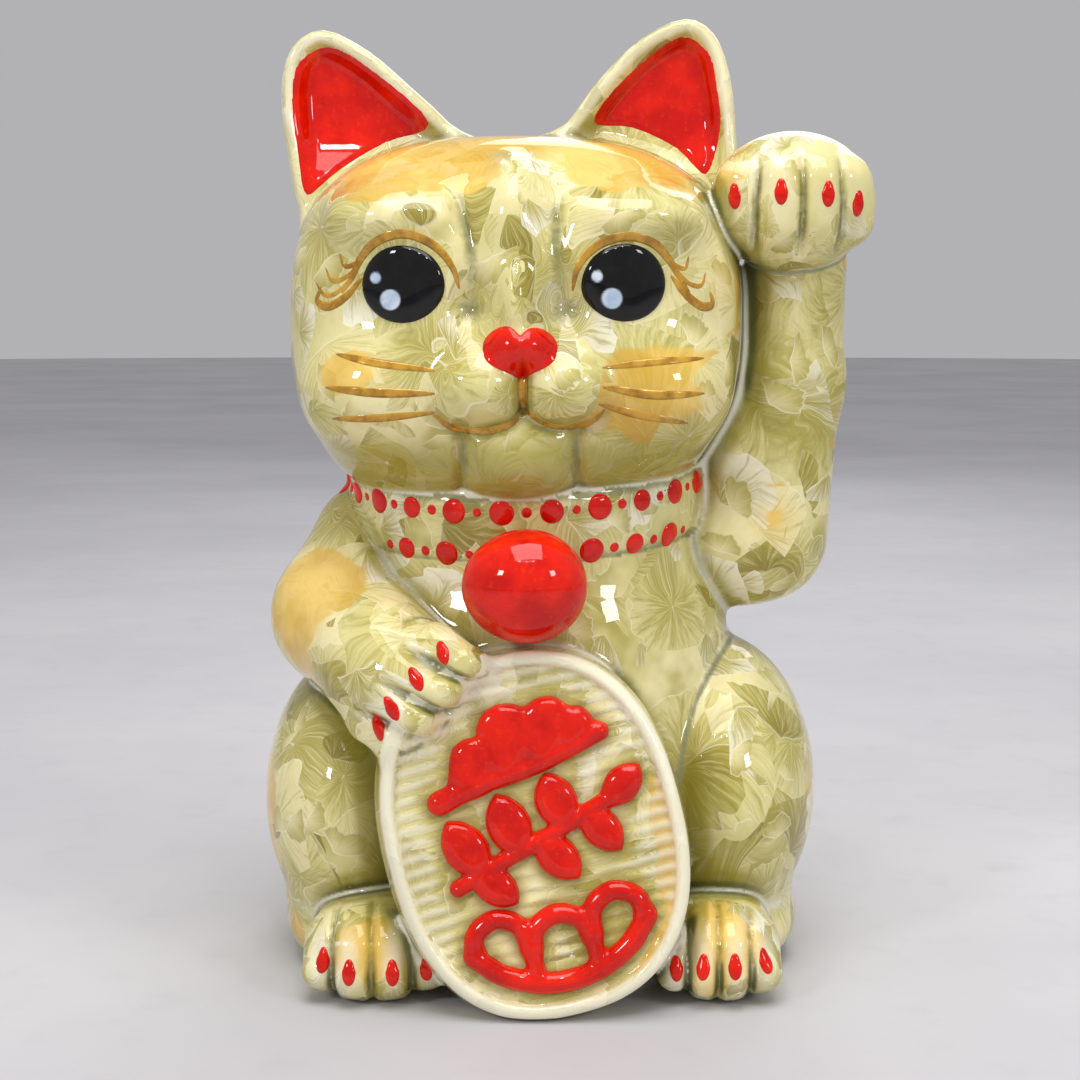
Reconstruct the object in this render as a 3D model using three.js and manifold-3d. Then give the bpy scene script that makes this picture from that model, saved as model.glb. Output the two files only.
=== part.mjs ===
// Beckoning cat figurine of glazed ceramic, as the pieces a potter casts, presses and luts together.
// Millimetres, +Z up. The cat faces -Y and its raised arm is on the +X side, the cat's own left.
// The origin is on the flat underside, below the middle of the body.
import * as THREE from "three";
import { mergeVertices } from "three/addons/utils/BufferGeometryUtils.js";
import Module from "manifold-3d";

const wasm = await Module();
wasm.setup();

// ---------- driving dimensions ----------
const GAP = 0.3; // slip line left between two luted pieces
const WALL = 4.5; // cast wall of the hollow torso and head
const FLOOR = 6; // thickness of the torso's floor
const VENT = { y: 18, r: 10 }; // firing vent through the floor
const NECK_HOLE = { y: -2, r: 27 }; // opening between torso and head

// Ellipsoids: centre and radii.
const BELLY = { at: [2, 2, 46], r: [56, 59, 62] };
const CHEST = { at: [0, -2, 86], r: [51, 46, 44] };
const NECK = { at: [0, -2, 116], r: [44, 41, 22] };
const CRANIUM = { at: [-3, -4, 165], r: [55, 50, 43] };
const CHEEKS = { at: [-3, -6, 150], r: [57.5, 46, 31] };
const JAW = { at: [-3, -15, 140], r: [44, 36, 21] };
const BROW = { at: [-3, -8, 180], r: [53, 42, 27] };
const MUZZLE = [
  { at: [-10.5, -44, 146], r: [13, 12, 11] },
  { at: [8.5, -44, 146], r: [13, 12, 11] },
  { at: [-1.5, -46, 157], r: [12, 9, 11] },
];
const CHIN = { at: [-1, -44, 134], r: [11, 9, 8] };
const HAUNCH_RIGHT = [
  { at: [-45, -4, 42], r: [23.5, 44, 36] },
  { at: [-44, 0, 16], r: [20, 38, 17] },
];
const HAUNCH_LEFT = [
  { at: [50, -4, 43], r: [24.7, 44, 37] },
  { at: [48, 0, 16], r: [21, 38, 17] },
];
const HIND_PAW_RIGHT = { at: [-37, -46, 11], r: [17, 21, 12.5] };
const HIND_PAW_LEFT = { at: [46.5, -46, 11], r: [14.5, 21, 12.5] };
const RAISED_PAW = { at: [65.3, -20, 190.6], r: [20.5, 18, 17.3] };
const RESTING_PAW = { at: [-25, -57, 76], r: [15, 13, 13] };
const TAIL = { at: [10, 56, 24], r: [14, 13, 16] };
const BELL = { at: [-0.5, -57, 100.5], r: [14.7, 12.5, 13.4] };

const EAR_THICK = 20; // front to back at the root of an ear
const EAR_RIM = 3.2; // glazed rim round the enamel panel
const ENAMEL = 1.2; // thickness of the enamel panels

const COLLAR = { y: -2, z: 117, rx: 44.6, ry: 41.6, high: 12, thick: 2.2, tilt: 7.8 };
const BEADS = { count: 20, r: 2.6 };

const PLATE = { at: [2, -66, 43.3], a: 34.4, b: 42.5, power: 2.385, thick: 11 };
const PLATE_LEAN = 8; // degrees the plate leans back
const PLATE_TILT = 13.9; // degrees its long axis tips towards -X
const PLATE_RIM = 3; // width of the raised rim
const PLATE_FIELD = 1.4; // depth of the field below the rim
const STROKE = { wide: 4.6, high: 2.2 }; // a raised enamel brush stroke

// ---------- colours ----------
const glaze = () => new THREE.MeshStandardMaterial({ color: 0xcfca94, roughness: 0.15, metalness: 0 });
const red = () => new THREE.MeshStandardMaterial({ color: 0xd41a0c, roughness: 0.12, metalness: 0 });
const black = () => new THREE.MeshStandardMaterial({ color: 0x14181c, roughness: 0.08, metalness: 0 });

// ---------- solids ----------
const rad = (deg) => (deg * Math.PI) / 180;

// A three.js geometry as a closed solid.
function solid(geometry) {
  const g = geometry.index ? geometry.toNonIndexed() : geometry.clone();
  g.deleteAttribute("normal");
  g.deleteAttribute("uv");
  const merged = mergeVertices(g, 1e-3);
  return new wasm.Manifold(
    new wasm.Mesh({
      numProp: 3,
      vertProperties: new Float32Array(merged.attributes.position.array),
      triVerts: new Uint32Array(merged.index.array),
    }),
  );
}

// An ellipsoid, larger all round by grow, turned about Z by a number of degrees.
function ball({ at, r }, grow = 0, around = 16, up = 10, turn = 0) {
  const g = new THREE.SphereGeometry(1, around, up);
  g.rotateX(Math.PI / 2);
  g.scale(r[0] + grow, r[1] + grow, r[2] + grow);
  g.rotateZ(rad(turn));
  g.translate(at[0], at[1], at[2]);
  return solid(g);
}

// A tapered round limb between two centres with a ball at each end.
function limb(from, rFrom, to, rTo, grow = 0, around = 14) {
  const a = new THREE.Vector3(...from);
  const b = new THREE.Vector3(...to);
  const along = b.clone().sub(a);
  const g = new THREE.CylinderGeometry(rTo + grow, rFrom + grow, along.length(), around, 1);
  g.applyQuaternion(
    new THREE.Quaternion().setFromUnitVectors(new THREE.Vector3(0, 1, 0), along.clone().normalize()),
  );
  const middle = a.clone().add(b).multiplyScalar(0.5);
  g.translate(middle.x, middle.y, middle.z);
  return solid(g)
    .add(ball({ at: from, r: [rFrom, rFrom, rFrom] }, grow, around, 8))
    .add(ball({ at: to, r: [rTo, rTo, rTo] }, grow, around, 8));
}

// An upright round post, for the vent and the neck opening.
function post(x, y, r, low, high) {
  const g = new THREE.CylinderGeometry(r, r, high - low, 24, 1);
  g.rotateX(Math.PI / 2);
  g.translate(x, y, (low + high) / 2);
  return solid(g);
}

const join = (list) => list.reduce((all, next) => all.add(next));
const cut = (body, list) => list.reduce((all, next) => all.subtract(next), body);

// The largest of the bodies that a cut leaves.
function largest(body) {
  const bodies = body.decompose();
  bodies.sort((p, q) => q.volume() - p.volume());
  return bodies[0];
}

// Everything below the table the figurine stands on.
function belowTable() {
  const g = new THREE.BoxGeometry(400, 400, 100);
  g.translate(0, 0, -50);
  return solid(g);
}

const group = new THREE.Group();

// Adds one named piece to the group.
function piece(name, body, material) {
  const made = largest(body).getMesh();
  const count = made.vertProperties.length / made.numProp;
  const points = new Float32Array(count * 3);
  for (let i = 0; i < count; i++)
    for (let k = 0; k < 3; k++)
      points[i * 3 + k] = made.vertProperties[i * made.numProp + k];
  const g = new THREE.BufferGeometry();
  g.setAttribute("position", new THREE.BufferAttribute(points, 3));
  g.setIndex(new THREE.BufferAttribute(new Uint32Array(made.triVerts), 1));
  g.computeVertexNormals();
  const mesh = new THREE.Mesh(g, material);
  mesh.name = name;
  group.add(mesh);
}

// ---------- outer forms, each larger all round by grow ----------
const torsoForm = (grow = 0) =>
  join([ball(BELLY, grow, 20, 12), ball(CHEST, grow, 20, 10), ball(NECK, grow, 20, 8)]);
const headForm = (grow = 0) =>
  join([
    ball(CRANIUM, grow, 20, 12),
    ball(CHEEKS, grow, 20, 10),
    ball(JAW, grow, 18, 8),
    ball(BROW, grow, 20, 8),
    ...MUZZLE.map((m) => ball(m, grow, 10, 6)),
    ball(CHIN, grow, 10, 6),
  ]);
const haunchForm = (pair, grow = 0) => join(pair.map((p) => ball(p, grow)));
const raisedArmForm = (grow = 0) =>
  join([
    ball({ at: [42, -2, 110], r: [19, 19, 18] }, grow),
    limb([60, -5, 106], 17.3, [67.5, -10, 174], 13.2, grow, 12),
  ]);
const restingArmForm = (grow = 0) =>
  join([
    ball({ at: [-40, -6, 104], r: [18, 20, 18] }, grow),
    limb([-44, -18, 86], 19, [-31, -48, 79.5], 15.5, grow, 12),
  ]);

// ---------- torso and head: hollow castings ----------
const table = belowTable();
const torsoHollow = join([
  ball(BELLY, -WALL, 18, 10),
  ball(CHEST, -WALL, 18, 8),
  ball(NECK, -6, 18, 8),
]);
const floorSlab = new THREE.BoxGeometry(200, 200, 100);
floorSlab.translate(0, 0, FLOOR - 50);
piece(
  "torso_casting",
  cut(torsoForm(), [
    torsoHollow.subtract(solid(floorSlab)),
    post(0, VENT.y, VENT.r, -10, FLOOR + 4),
    headForm(GAP),
    table,
  ]),
  glaze(),
);
piece(
  "head_casting",
  cut(headForm(), [ball(CRANIUM, -WALL, 18, 10), post(-2, NECK_HOLE.y, NECK_HOLE.r, 105, 140)]),
  glaze(),
);

// ---------- ears: dished front, rounded back, enamel panel in the dish ----------
// Outline corners in X and Z: outer root, tip, inner root.
const EARS = {
  right: { outer: [-61, 180], tip: [-55.5, 241], inner: [-12, 205] },
  left: { outer: [56, 180], tip: [44, 244.5], inner: [4, 205] },
};

// The ear's outline pulled in by a margin, its tip rounded.
function earShape({ outer, tip, inner }, margin) {
  const corners = [outer, tip, inner].map((c) => new THREE.Vector2(...c));
  const middle = corners[0].clone().add(corners[1]).add(corners[2]).divideScalar(3);
  const pull = (c) => c.clone().lerp(middle, margin / c.distanceTo(middle));
  const [o, t, i] = corners.map(pull);
  const s = new THREE.Shape();
  s.moveTo(i.x, i.y);
  const low = t.clone().lerp(i, 0.2);
  const high = t.clone().lerp(o, 0.2);
  const bulgeIn = i.clone().lerp(t, 0.5).add(middle.clone().sub(o).setLength(2.4));
  const bulgeOut = o.clone().lerp(t, 0.5).add(middle.clone().sub(i).setLength(2.8));
  s.quadraticCurveTo(bulgeIn.x, bulgeIn.y, low.x, low.y);
  s.quadraticCurveTo(t.x, t.y, high.x, high.y);
  s.quadraticCurveTo(bulgeOut.x, bulgeOut.y, o.x, o.y);
  s.closePath();
  return s;
}

// A slab of the ear's outline from y = front to y = back.
function earSlab(ear, margin, front, back) {
  const g = new THREE.ExtrudeGeometry(earShape(ear, margin), {
    depth: back - front,
    bevelEnabled: false,
    curveSegments: 6,
  });
  g.rotateX(Math.PI / 2);
  g.translate(0, back, 0);
  return solid(g);
}

for (const [name, ear] of Object.entries(EARS)) {
  const root = [(ear.outer[0] + ear.inner[0]) / 2, 8, 192];
  const back = ball({ at: root, r: [42, EAR_THICK / 2, 58] }, 0, 14, 8);
  const front = 8 - EAR_THICK / 2 + 2.5;
  const body = earSlab(ear, 0, front, 30).intersect(back);
  const dish = earSlab(ear, EAR_RIM * 2, front - 5, front + 2 * ENAMEL);
  const panel = earSlab(ear, EAR_RIM * 2 + 1.2, front + ENAMEL - 0.2, front + 2 * ENAMEL - 0.3);
  piece("ear_" + name, cut(body, [headForm(GAP), dish]), glaze());
  piece("ear_enamel_" + name, cut(panel, [headForm(GAP)]), red());
}

// ---------- face ----------
const EYE_R = [10.3, 3, 9.3];
piece("eye_right", cut(ball({ at: [-29.2, -47, 170.8], r: EYE_R }, 0, 16, 6, -26), [headForm(GAP)]), black());
piece("eye_left", cut(ball({ at: [22.9, -47, 171.3], r: EYE_R }, 0, 16, 6, 26), [headForm(GAP)]), black());
const nose = join([
  ball({ at: [-5.6, -53.5, 157.6], r: [4.8, 4, 3.8] }, 0, 10, 6),
  ball({ at: [2.4, -53.5, 157.6], r: [4.8, 4, 3.8] }, 0, 10, 6),
  ball({ at: [-1.6, -54.5, 153.8], r: [4, 3.6, 4.6] }, 0, 10, 6),
]);
piece("nose", cut(nose, [headForm(GAP)]), red());

// ---------- oval plate: superellipse with a raised rim ----------
// A slab of the plate's outline, inset by margin, between two depths in front of the plate's face.
const plateFrame = new THREE.Matrix4()
  .makeTranslation(...PLATE.at)
  .multiply(new THREE.Matrix4().makeRotationX(rad(-PLATE_LEAN)))
  .multiply(new THREE.Matrix4().makeRotationY(rad(-PLATE_TILT)));

function plateSlab(margin, front, back) {
  const s = new THREE.Shape();
  const steps = 36;
  for (let i = 0; i < steps; i++) {
    const t = (i / steps) * 2 * Math.PI;
    const bend = (v) => Math.sign(v) * Math.abs(v) ** (2 / PLATE.power);
    const x = (PLATE.a - margin) * bend(Math.cos(t));
    const z = (PLATE.b - margin) * bend(Math.sin(t));
    if (i) s.lineTo(x, z);
    else s.moveTo(x, z);
  }
  s.closePath();
  const g = new THREE.ExtrudeGeometry(s, { depth: back - front, bevelEnabled: false });
  g.rotateX(Math.PI / 2);
  g.translate(0, back, 0);
  g.applyMatrix4(plateFrame);
  return solid(g);
}
const plateForm = (grow = 0) => plateSlab(-grow, -grow, PLATE.thick + grow);

// ---------- haunches, hind paws, tail ----------
for (const [name, pair, paw] of [
  ["right", HAUNCH_RIGHT, HIND_PAW_RIGHT],
  ["left", HAUNCH_LEFT, HIND_PAW_LEFT],
]) {
  piece(
    "haunch_" + name,
    cut(haunchForm(pair), [torsoForm(GAP), restingArmForm(GAP), ball(paw, GAP), plateForm(GAP), table]),
    glaze(),
  );
}
piece("tail", cut(ball(TAIL), [torsoForm(GAP), table]), glaze());

// ---------- paws and arms ----------
const raisedPaw = cut(ball(RAISED_PAW), [headForm(GAP)]);
const restingPaw = cut(ball(RESTING_PAW), [plateForm(GAP), torsoForm(GAP)]);
piece("raised_paw", raisedPaw, glaze());
piece("resting_paw", restingPaw, glaze());
piece(
  "raised_arm",
  cut(raisedArmForm(), [torsoForm(GAP), headForm(GAP), ball(RAISED_PAW, GAP)]),
  glaze(),
);
piece(
  "resting_arm",
  cut(restingArmForm(), [torsoForm(GAP), headForm(GAP), ball(RESTING_PAW, GAP), plateForm(GAP)]),
  glaze(),
);
for (const [name, paw] of [
  ["right", HIND_PAW_RIGHT],
  ["left", HIND_PAW_LEFT],
]) {
  const form = ball(paw);
  piece("hind_paw_" + name, cut(form, [torsoForm(GAP), plateForm(GAP), table]), glaze());
}

const plate = cut(plateForm(), [plateSlab(PLATE_RIM, -5, PLATE_FIELD), torsoForm(GAP), table]);
piece("oval_plate", plate, glaze());

// ---------- enamel brush strokes on the plate ----------
// Each motif is a list of strokes; a stroke is a run of points across and up the plate's field.
const MOTIFS = {
  cloud: [[[-20, 12.5], [-10, 14.8], [4, 16.2], [19.5, 20]]],
  sprig: [[[-20, -7.6], [-10, -4.4], [2, -1], [11, 1.8], [19, 4.5]]],
  wave: [
    [[-20.5, -23.5], [-19, -19], [-14, -16.7], [-9, -19.3], [-7.5, -24.5]],
    [[-7, -25.5], [-5.2, -21], [0, -18.8], [5.2, -21], [7, -25.5]],
    [[7.5, -24.5], [9, -19.3], [14, -16.7], [19, -19], [20.5, -23.5]],
    [[-20.3, -24.5], [-15.5, -29.5], [-8, -33.2], [0, -34.5], [8, -33.2], [15.5, -29.5], [20.3, -24.5]],
    [[-7.2, -25], [-7.4, -33]],
    [[7.2, -25], [7.4, -33]],
  ],
};
// Billows and leaves: middle across and up the field, half length, half width, direction in degrees.
const BLOBS = {
  cloud: [
    [-10, 20, 6, 5.4, 0],
    [-1, 24.5, 7, 7, 0],
    [8.8, 24.8, 6.2, 6.2, 0],
    [15, 22.5, 4.6, 4.4, 0],
  ],
  sprig: [
    [-16.5, 0.6, 7.2, 4.3, 112],
    [-5.5, 3.6, 7.4, 4.4, 100],
    [6.5, 6.4, 6.4, 4.2, 98],
    [22.3, 6.6, 5.6, 3.4, 35],
    [-12, -9.2, 6, 3.6, -50],
    [3.8, -6, 6.4, 3.8, -58],
    [15.2, -2, 6.2, 3.7, -60],
  ],
  wave: [],
};

// One stroke: a domed section swept along a smooth curve, with a rounded end at each end.
function stroke(points) {
  const path = new THREE.CatmullRomCurve3(points.map(([x, z]) => new THREE.Vector3(x, 0, z)));
  const w = STROKE.wide / 2;
  const section = new THREE.Shape();
  section.moveTo(0, -w);
  section.lineTo(STROKE.high * 0.6, -w * 0.85);
  section.lineTo(STROKE.high, -w * 0.4);
  section.lineTo(STROKE.high, w * 0.4);
  section.lineTo(STROKE.high * 0.6, w * 0.85);
  section.lineTo(0, w);
  section.closePath();
  const g = new THREE.ExtrudeGeometry(section, { steps: 8, extrudePath: path, bevelEnabled: false });
  g.translate(0, PLATE_FIELD - GAP, 0);
  const ends = [points[0], points[points.length - 1]].map(([x, z]) => {
    const cap = new THREE.SphereGeometry(1, 8, 4);
    cap.scale(w, STROKE.high, w);
    cap.translate(x, PLATE_FIELD - GAP, z);
    return cap;
  });
  return join([g, ...ends].map((part) => solid(part.applyMatrix4(plateFrame))));
}

// One billow or leaf: a domed drop laid on the field.
function blob([x, z, long, wide, direction]) {
  const g = new THREE.SphereGeometry(1, 10, 6);
  g.scale(long, STROKE.high, wide);
  g.rotateY(rad(-direction));
  g.translate(x, PLATE_FIELD - GAP, z);
  return solid(g.applyMatrix4(plateFrame));
}

const behindStrokes = plateSlab(-6, PLATE_FIELD - GAP, 30);
for (const [name, strokes] of Object.entries(MOTIFS)) {
  const blobs = BLOBS[name].map(blob);
  piece("enamel_" + name, cut(join([...strokes.map(stroke), ...blobs]), [behindStrokes]), red());
}

// ---------- collar with raised beads, and the bell ----------
// The band hangs lower at the chest than at the nape.
const collarTilt = new THREE.Matrix4()
  .makeTranslation(0, COLLAR.y, COLLAR.z)
  .multiply(new THREE.Matrix4().makeRotationX(rad(COLLAR.tilt)));

function collarBand() {
  const inner = 1;
  const outer = 1 + COLLAR.thick / COLLAR.rx;
  const h = COLLAR.high / 2;
  const profile = [
    [inner, -h],
    [outer - 0.02, -h],
    [outer, -h + 1.5],
    [outer, h - 1.5],
    [outer - 0.02, h],
    [inner, h],
    [inner, -h],
  ].map(([r, z]) => new THREE.Vector2(r, z));
  const g = new THREE.LatheGeometry(profile, 24);
  g.rotateX(Math.PI / 2);
  g.scale(COLLAR.rx, COLLAR.ry, 1);
  g.applyMatrix4(collarTilt);
  return solid(g);
}

// Two rows of raised drops, the upper row half a step along from the lower.
function collarBeads() {
  const beads = [];
  for (let i = 0; i < BEADS.count; i++)
    for (const row of [-1, 1]) {
      const t = ((i + (row > 0 ? 0.5 : 0)) / BEADS.count) * 2 * Math.PI;
      const g = new THREE.OctahedronGeometry(BEADS.r);
      g.translate(
        (COLLAR.rx + COLLAR.thick) * Math.cos(t),
        (COLLAR.ry + COLLAR.thick) * Math.sin(t),
        row * (COLLAR.high / 2 - 1.4),
      );
      g.applyMatrix4(collarTilt);
      beads.push(solid(g));
    }
  return beads;
}

const bellForm = (grow = 0) => ball(BELL, grow, 18, 12);
const neighbours = [torsoForm(GAP), headForm(GAP), raisedArmForm(GAP), restingArmForm(GAP), bellForm(GAP)];
piece("collar_band", cut(join([collarBand(), ...collarBeads()]), neighbours), glaze());
piece("bell", cut(bellForm(), [torsoForm(GAP)]), red());

// ---------- claws: enamel drops on the fronts of the toes ----------
// The depth of a paw's front surface at a place given in X and Z.
function frontOf({ at, r }, x, z) {
  const inside = 1 - ((x - at[0]) / r[0]) ** 2 - ((z - at[2]) / r[2]) ** 2;
  return at[1] - r[1] * Math.sqrt(Math.max(inside, 0.02));
}

const CLAW = [1.5, 0.9, 3.1];
const CLAWS = {
  raised: { paw: RAISED_PAW, at: [[49.7, 191.6], [60.3, 192.4], [71.6, 191.9], [79.3, 189.8]] },
  resting: { paw: RESTING_PAW, at: [[-19.5, 85.5], [-25.5, 80.4], [-31.2, 73.4], [-34.6, 68.5]] },
  hind_right: { paw: HIND_PAW_RIGHT, at: [[-48.6, 11.4], [-42, 9.7], [-31.7, 9.7], [-24, 9.7]] },
  hind_left: { paw: HIND_PAW_LEFT, at: [[35.4, 10], [41.4, 10.9], [48.9, 11.1], [56.4, 11.4]] },
};
for (const [name, { paw, at }] of Object.entries(CLAWS))
  at.forEach(([x, z], i) => {
    const y = frontOf(paw, x, z) - CLAW[1] - GAP;
    const form = ball({ at: [x, y, z], r: CLAW }, 0, 8, 5);
    piece("claw_" + name + "_" + (i + 1), cut(form, [ball(paw, GAP), plateForm(GAP)]), red());
  });

export default group;
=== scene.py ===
"""Beckoning cat figurine in crystalline glaze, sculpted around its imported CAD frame.

All shaping is in millimetres in the frame of the part: +Z up, the face towards -Y.
One smooth distance field describes the whole glazed skin. It is meshed once, parted into the
potter's pieces along the luted seams, and enamel drops and painted lines are laid on top.
"""

import math
from concurrent.futures import ThreadPoolExecutor

import bpy
import numpy as np
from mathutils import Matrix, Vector


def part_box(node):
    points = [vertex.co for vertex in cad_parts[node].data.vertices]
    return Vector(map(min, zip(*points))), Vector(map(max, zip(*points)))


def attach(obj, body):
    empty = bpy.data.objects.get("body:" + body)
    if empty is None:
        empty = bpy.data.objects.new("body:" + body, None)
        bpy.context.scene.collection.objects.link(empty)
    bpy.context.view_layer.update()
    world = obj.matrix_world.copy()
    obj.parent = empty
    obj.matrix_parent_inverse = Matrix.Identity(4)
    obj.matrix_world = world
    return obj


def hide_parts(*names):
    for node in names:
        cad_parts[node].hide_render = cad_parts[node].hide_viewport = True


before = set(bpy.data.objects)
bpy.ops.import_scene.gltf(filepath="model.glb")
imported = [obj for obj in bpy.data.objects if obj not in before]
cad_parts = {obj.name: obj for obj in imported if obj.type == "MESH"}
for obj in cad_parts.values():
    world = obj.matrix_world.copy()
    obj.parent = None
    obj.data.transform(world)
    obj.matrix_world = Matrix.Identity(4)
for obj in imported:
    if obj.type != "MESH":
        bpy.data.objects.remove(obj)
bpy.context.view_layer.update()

MM = 0.001
STEP = 0.72  # grid of the glazed skin, mm
FINE = 0.36  # grid of the raised ornaments, mm
CHUNK = 40000  # points worked on at once
TINY = 1e-6
F = np.float32


# ---- frame positions
def node_box(name):
    """Lowest and highest corner of a CAD node, mm."""
    low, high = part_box(name)
    return np.array(low) / MM, np.array(high) / MM


def centre(name):
    low, high = node_box(name)
    return (low + high) / 2


def half(name):
    low, high = node_box(name)
    return (high - low) / 2


HEAD = centre("head_casting")
BASE_Z = node_box("torso_casting")[0][2]
PAW_UP = centre("raised_paw")
BELL = centre("bell")
BELL_R = half("bell")


# ---- distance functions
def vec(*v):
    return np.array(v, F)


def length(q):
    """The length of each row."""
    return np.sqrt(np.einsum("ij,ij->i", q, q))


def ellipsoid(p, c, r):
    """Signed distance, near enough, to an ellipsoid about c with the radii r."""
    q = (p - vec(*c)) / vec(*r)
    k0 = length(q)
    k1 = length(q / vec(*r)) + F(TINY)
    return k0 * (k0 - 1) / k1


def boxy(p, c, r, n):
    """A superellipsoid: n = 2 is an ellipsoid, larger is squarer."""
    q = np.abs((p - vec(*c)) / vec(*r)) + F(1e-4)
    total = np.power(q, F(n)).sum(1)
    value = np.power(total, F(1 / n))
    slope = np.power(value, F(1 - n))[:, None] * np.power(q, F(n - 1)) / vec(*r)
    return (value - 1) / (length(slope) + F(TINY))


def cone(p, a, ra, b, rb):
    """A limb: round, from radius ra at a to rb at b."""
    a, b = vec(*a), vec(*b)
    ab = b - a
    t = np.clip((p - a) @ ab / (ab @ ab), 0, 1)
    return length(p - a - t[:, None] * ab) - (ra + (rb - ra) * t)


def smin(a, b, k):
    """The join of two forms, filleted over k mm."""
    h = np.maximum(k - np.abs(a - b), 0) / k
    return np.minimum(a, b) - h * h * k * F(0.25)


def smax(a, b, k):
    return -smin(-a, -b, k)


def bump(p, c, r):
    """1 at c, falling off smoothly over the radii r."""
    q = (p - vec(*c)) / vec(*r)
    return np.exp(-np.einsum("ij,ij->i", q, q))


def groove(p, points, width):
    """1 along a run of points, falling off smoothly over width and towards both ends."""
    best = np.full(len(p), 1e9, F)
    along = np.zeros(len(p), F)
    spans = len(points) - 1
    for i in range(spans):
        a, b = vec(*points[i]), vec(*points[i + 1])
        ab = b - a
        t = np.clip((p - a) @ ab / (ab @ ab), 0, 1)
        far = length(p - a - t[:, None] * ab)
        along = np.where(far < best, (i + t) / spans, along)
        best = np.minimum(best, far)
    return np.exp(-np.square(best / F(width))) * np.sqrt(np.sin(along * F(math.pi)).clip(0, 1))


def crease(p, points, width):
    """As groove, for a run of (x, z) points that reaches through any depth."""
    flat = p * vec(1, 0, 1)
    return groove(flat, [(x, 0, z) for x, z in points], width)


def smooth(low, high, x):
    """A soft step from 0 at low to 1 at high."""
    t = np.clip((x - low) / (high - low), 0, 1)
    return t * t * (3 - 2 * t)


def near(p, c, reach):
    """Where the points lie within a box of half size reach about c."""
    return np.all(np.abs(p - vec(*c)) < vec(*reach), axis=1)


def polygon(points, x, z):
    """Signed distance to a closed outline in X and Z, negative inside."""
    best = np.full(len(x), 1e9, F)
    sign = np.ones(len(x), F)
    for (ax, az), (bx, bz) in zip(points, points[1:] + points[:1]):
        ex, ez = bx - ax, bz - az
        wx, wz = x - F(ax), z - F(az)
        t = np.clip((wx * ex + wz * ez) / (ex * ex + ez * ez), 0, 1)
        best = np.minimum(best, np.square(wx - ex * t) + np.square(wz - ez * t))
        above = z >= az
        below = z < bz
        turn = ex * wz > ez * wx
        flip = (above & below & turn) | (~above & ~below & ~turn)
        sign[flip] *= -1
    return sign * np.sqrt(best)


def spline(points, per, closed=False):
    """Points along a smooth curve through the given ones."""
    pts = [np.array(q, float) for q in points]
    if closed:
        ends = [pts[-1], *pts, pts[0], pts[1]]
    else:
        ends = [2 * pts[0] - pts[1], *pts, 2 * pts[-1] - pts[-2]]
    out = []
    for i in range(len(ends) - 3):
        a, b, c, d = ends[i : i + 4]
        for k in range(per):
            t = k / per
            line = 2 * b + (c - a) * t
            square = (2 * a - 5 * b + 4 * c - d) * t**2
            cube = (3 * b - a - 3 * c + d) * t**3
            out.append(0.5 * (line + square + cube))
    if not closed:
        out.append(pts[-1])
    return out


# ---- the potter's forms
def torso_form(p):
    d = ellipsoid(p, (2, 2, 46), (55, 58, 61))
    d = smin(d, ellipsoid(p, (0, -2, 84), (50, 45, 42)), 14)
    return smin(d, ellipsoid(p, (0, -2, 110), (43.4, 41, 24)), 8)


EYES = {"eye_right": (-28.9, 170.4), "eye_left": (22.6, 170.7)}
FOLDS = [
    # creases of the face as (x, z) points, depth, width
    ([(-17.5, 195), (-15.2, 188), (-13.6, 181), (-12.6, 174), (-13.6, 166)], 1.5, 2.7),
    ([(8.0, 194), (7.0, 187), (6.8, 181), (7.0, 174), (8.8, 166)], 1.5, 2.7),
    ([(-1, 156), (-0.9, 149), (-0.8, 140)], 1.7, 1.3),
    ([(-15.4, 139.5), (-15.2, 131), (-14.8, 121)], 1.7, 2.0),
    ([(11.7, 140), (11.6, 131), (11.4, 121)], 1.7, 2.0),
    ([(2, 144.3), (-4, 137.8), (-10, 136.2), (-16, 136.4), (-24, 141.6)], 1.0, 1.7),
    ([(-3.4, 144.3), (2.4, 138.2), (8, 136.8), (13, 137.4), (20.6, 142.2)], 1.0, 1.7),
]


SKULL = (HEAD[0], -5.0, 161.6)
FACE = ((-2, -54, 158), (32, 26, 48))  # middle and half size of the box that holds the folds
HOLLOWS = ((-13.4, 165.5), (8.8, 165.5))  # beside the bridge of the nose, x and z


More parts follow.
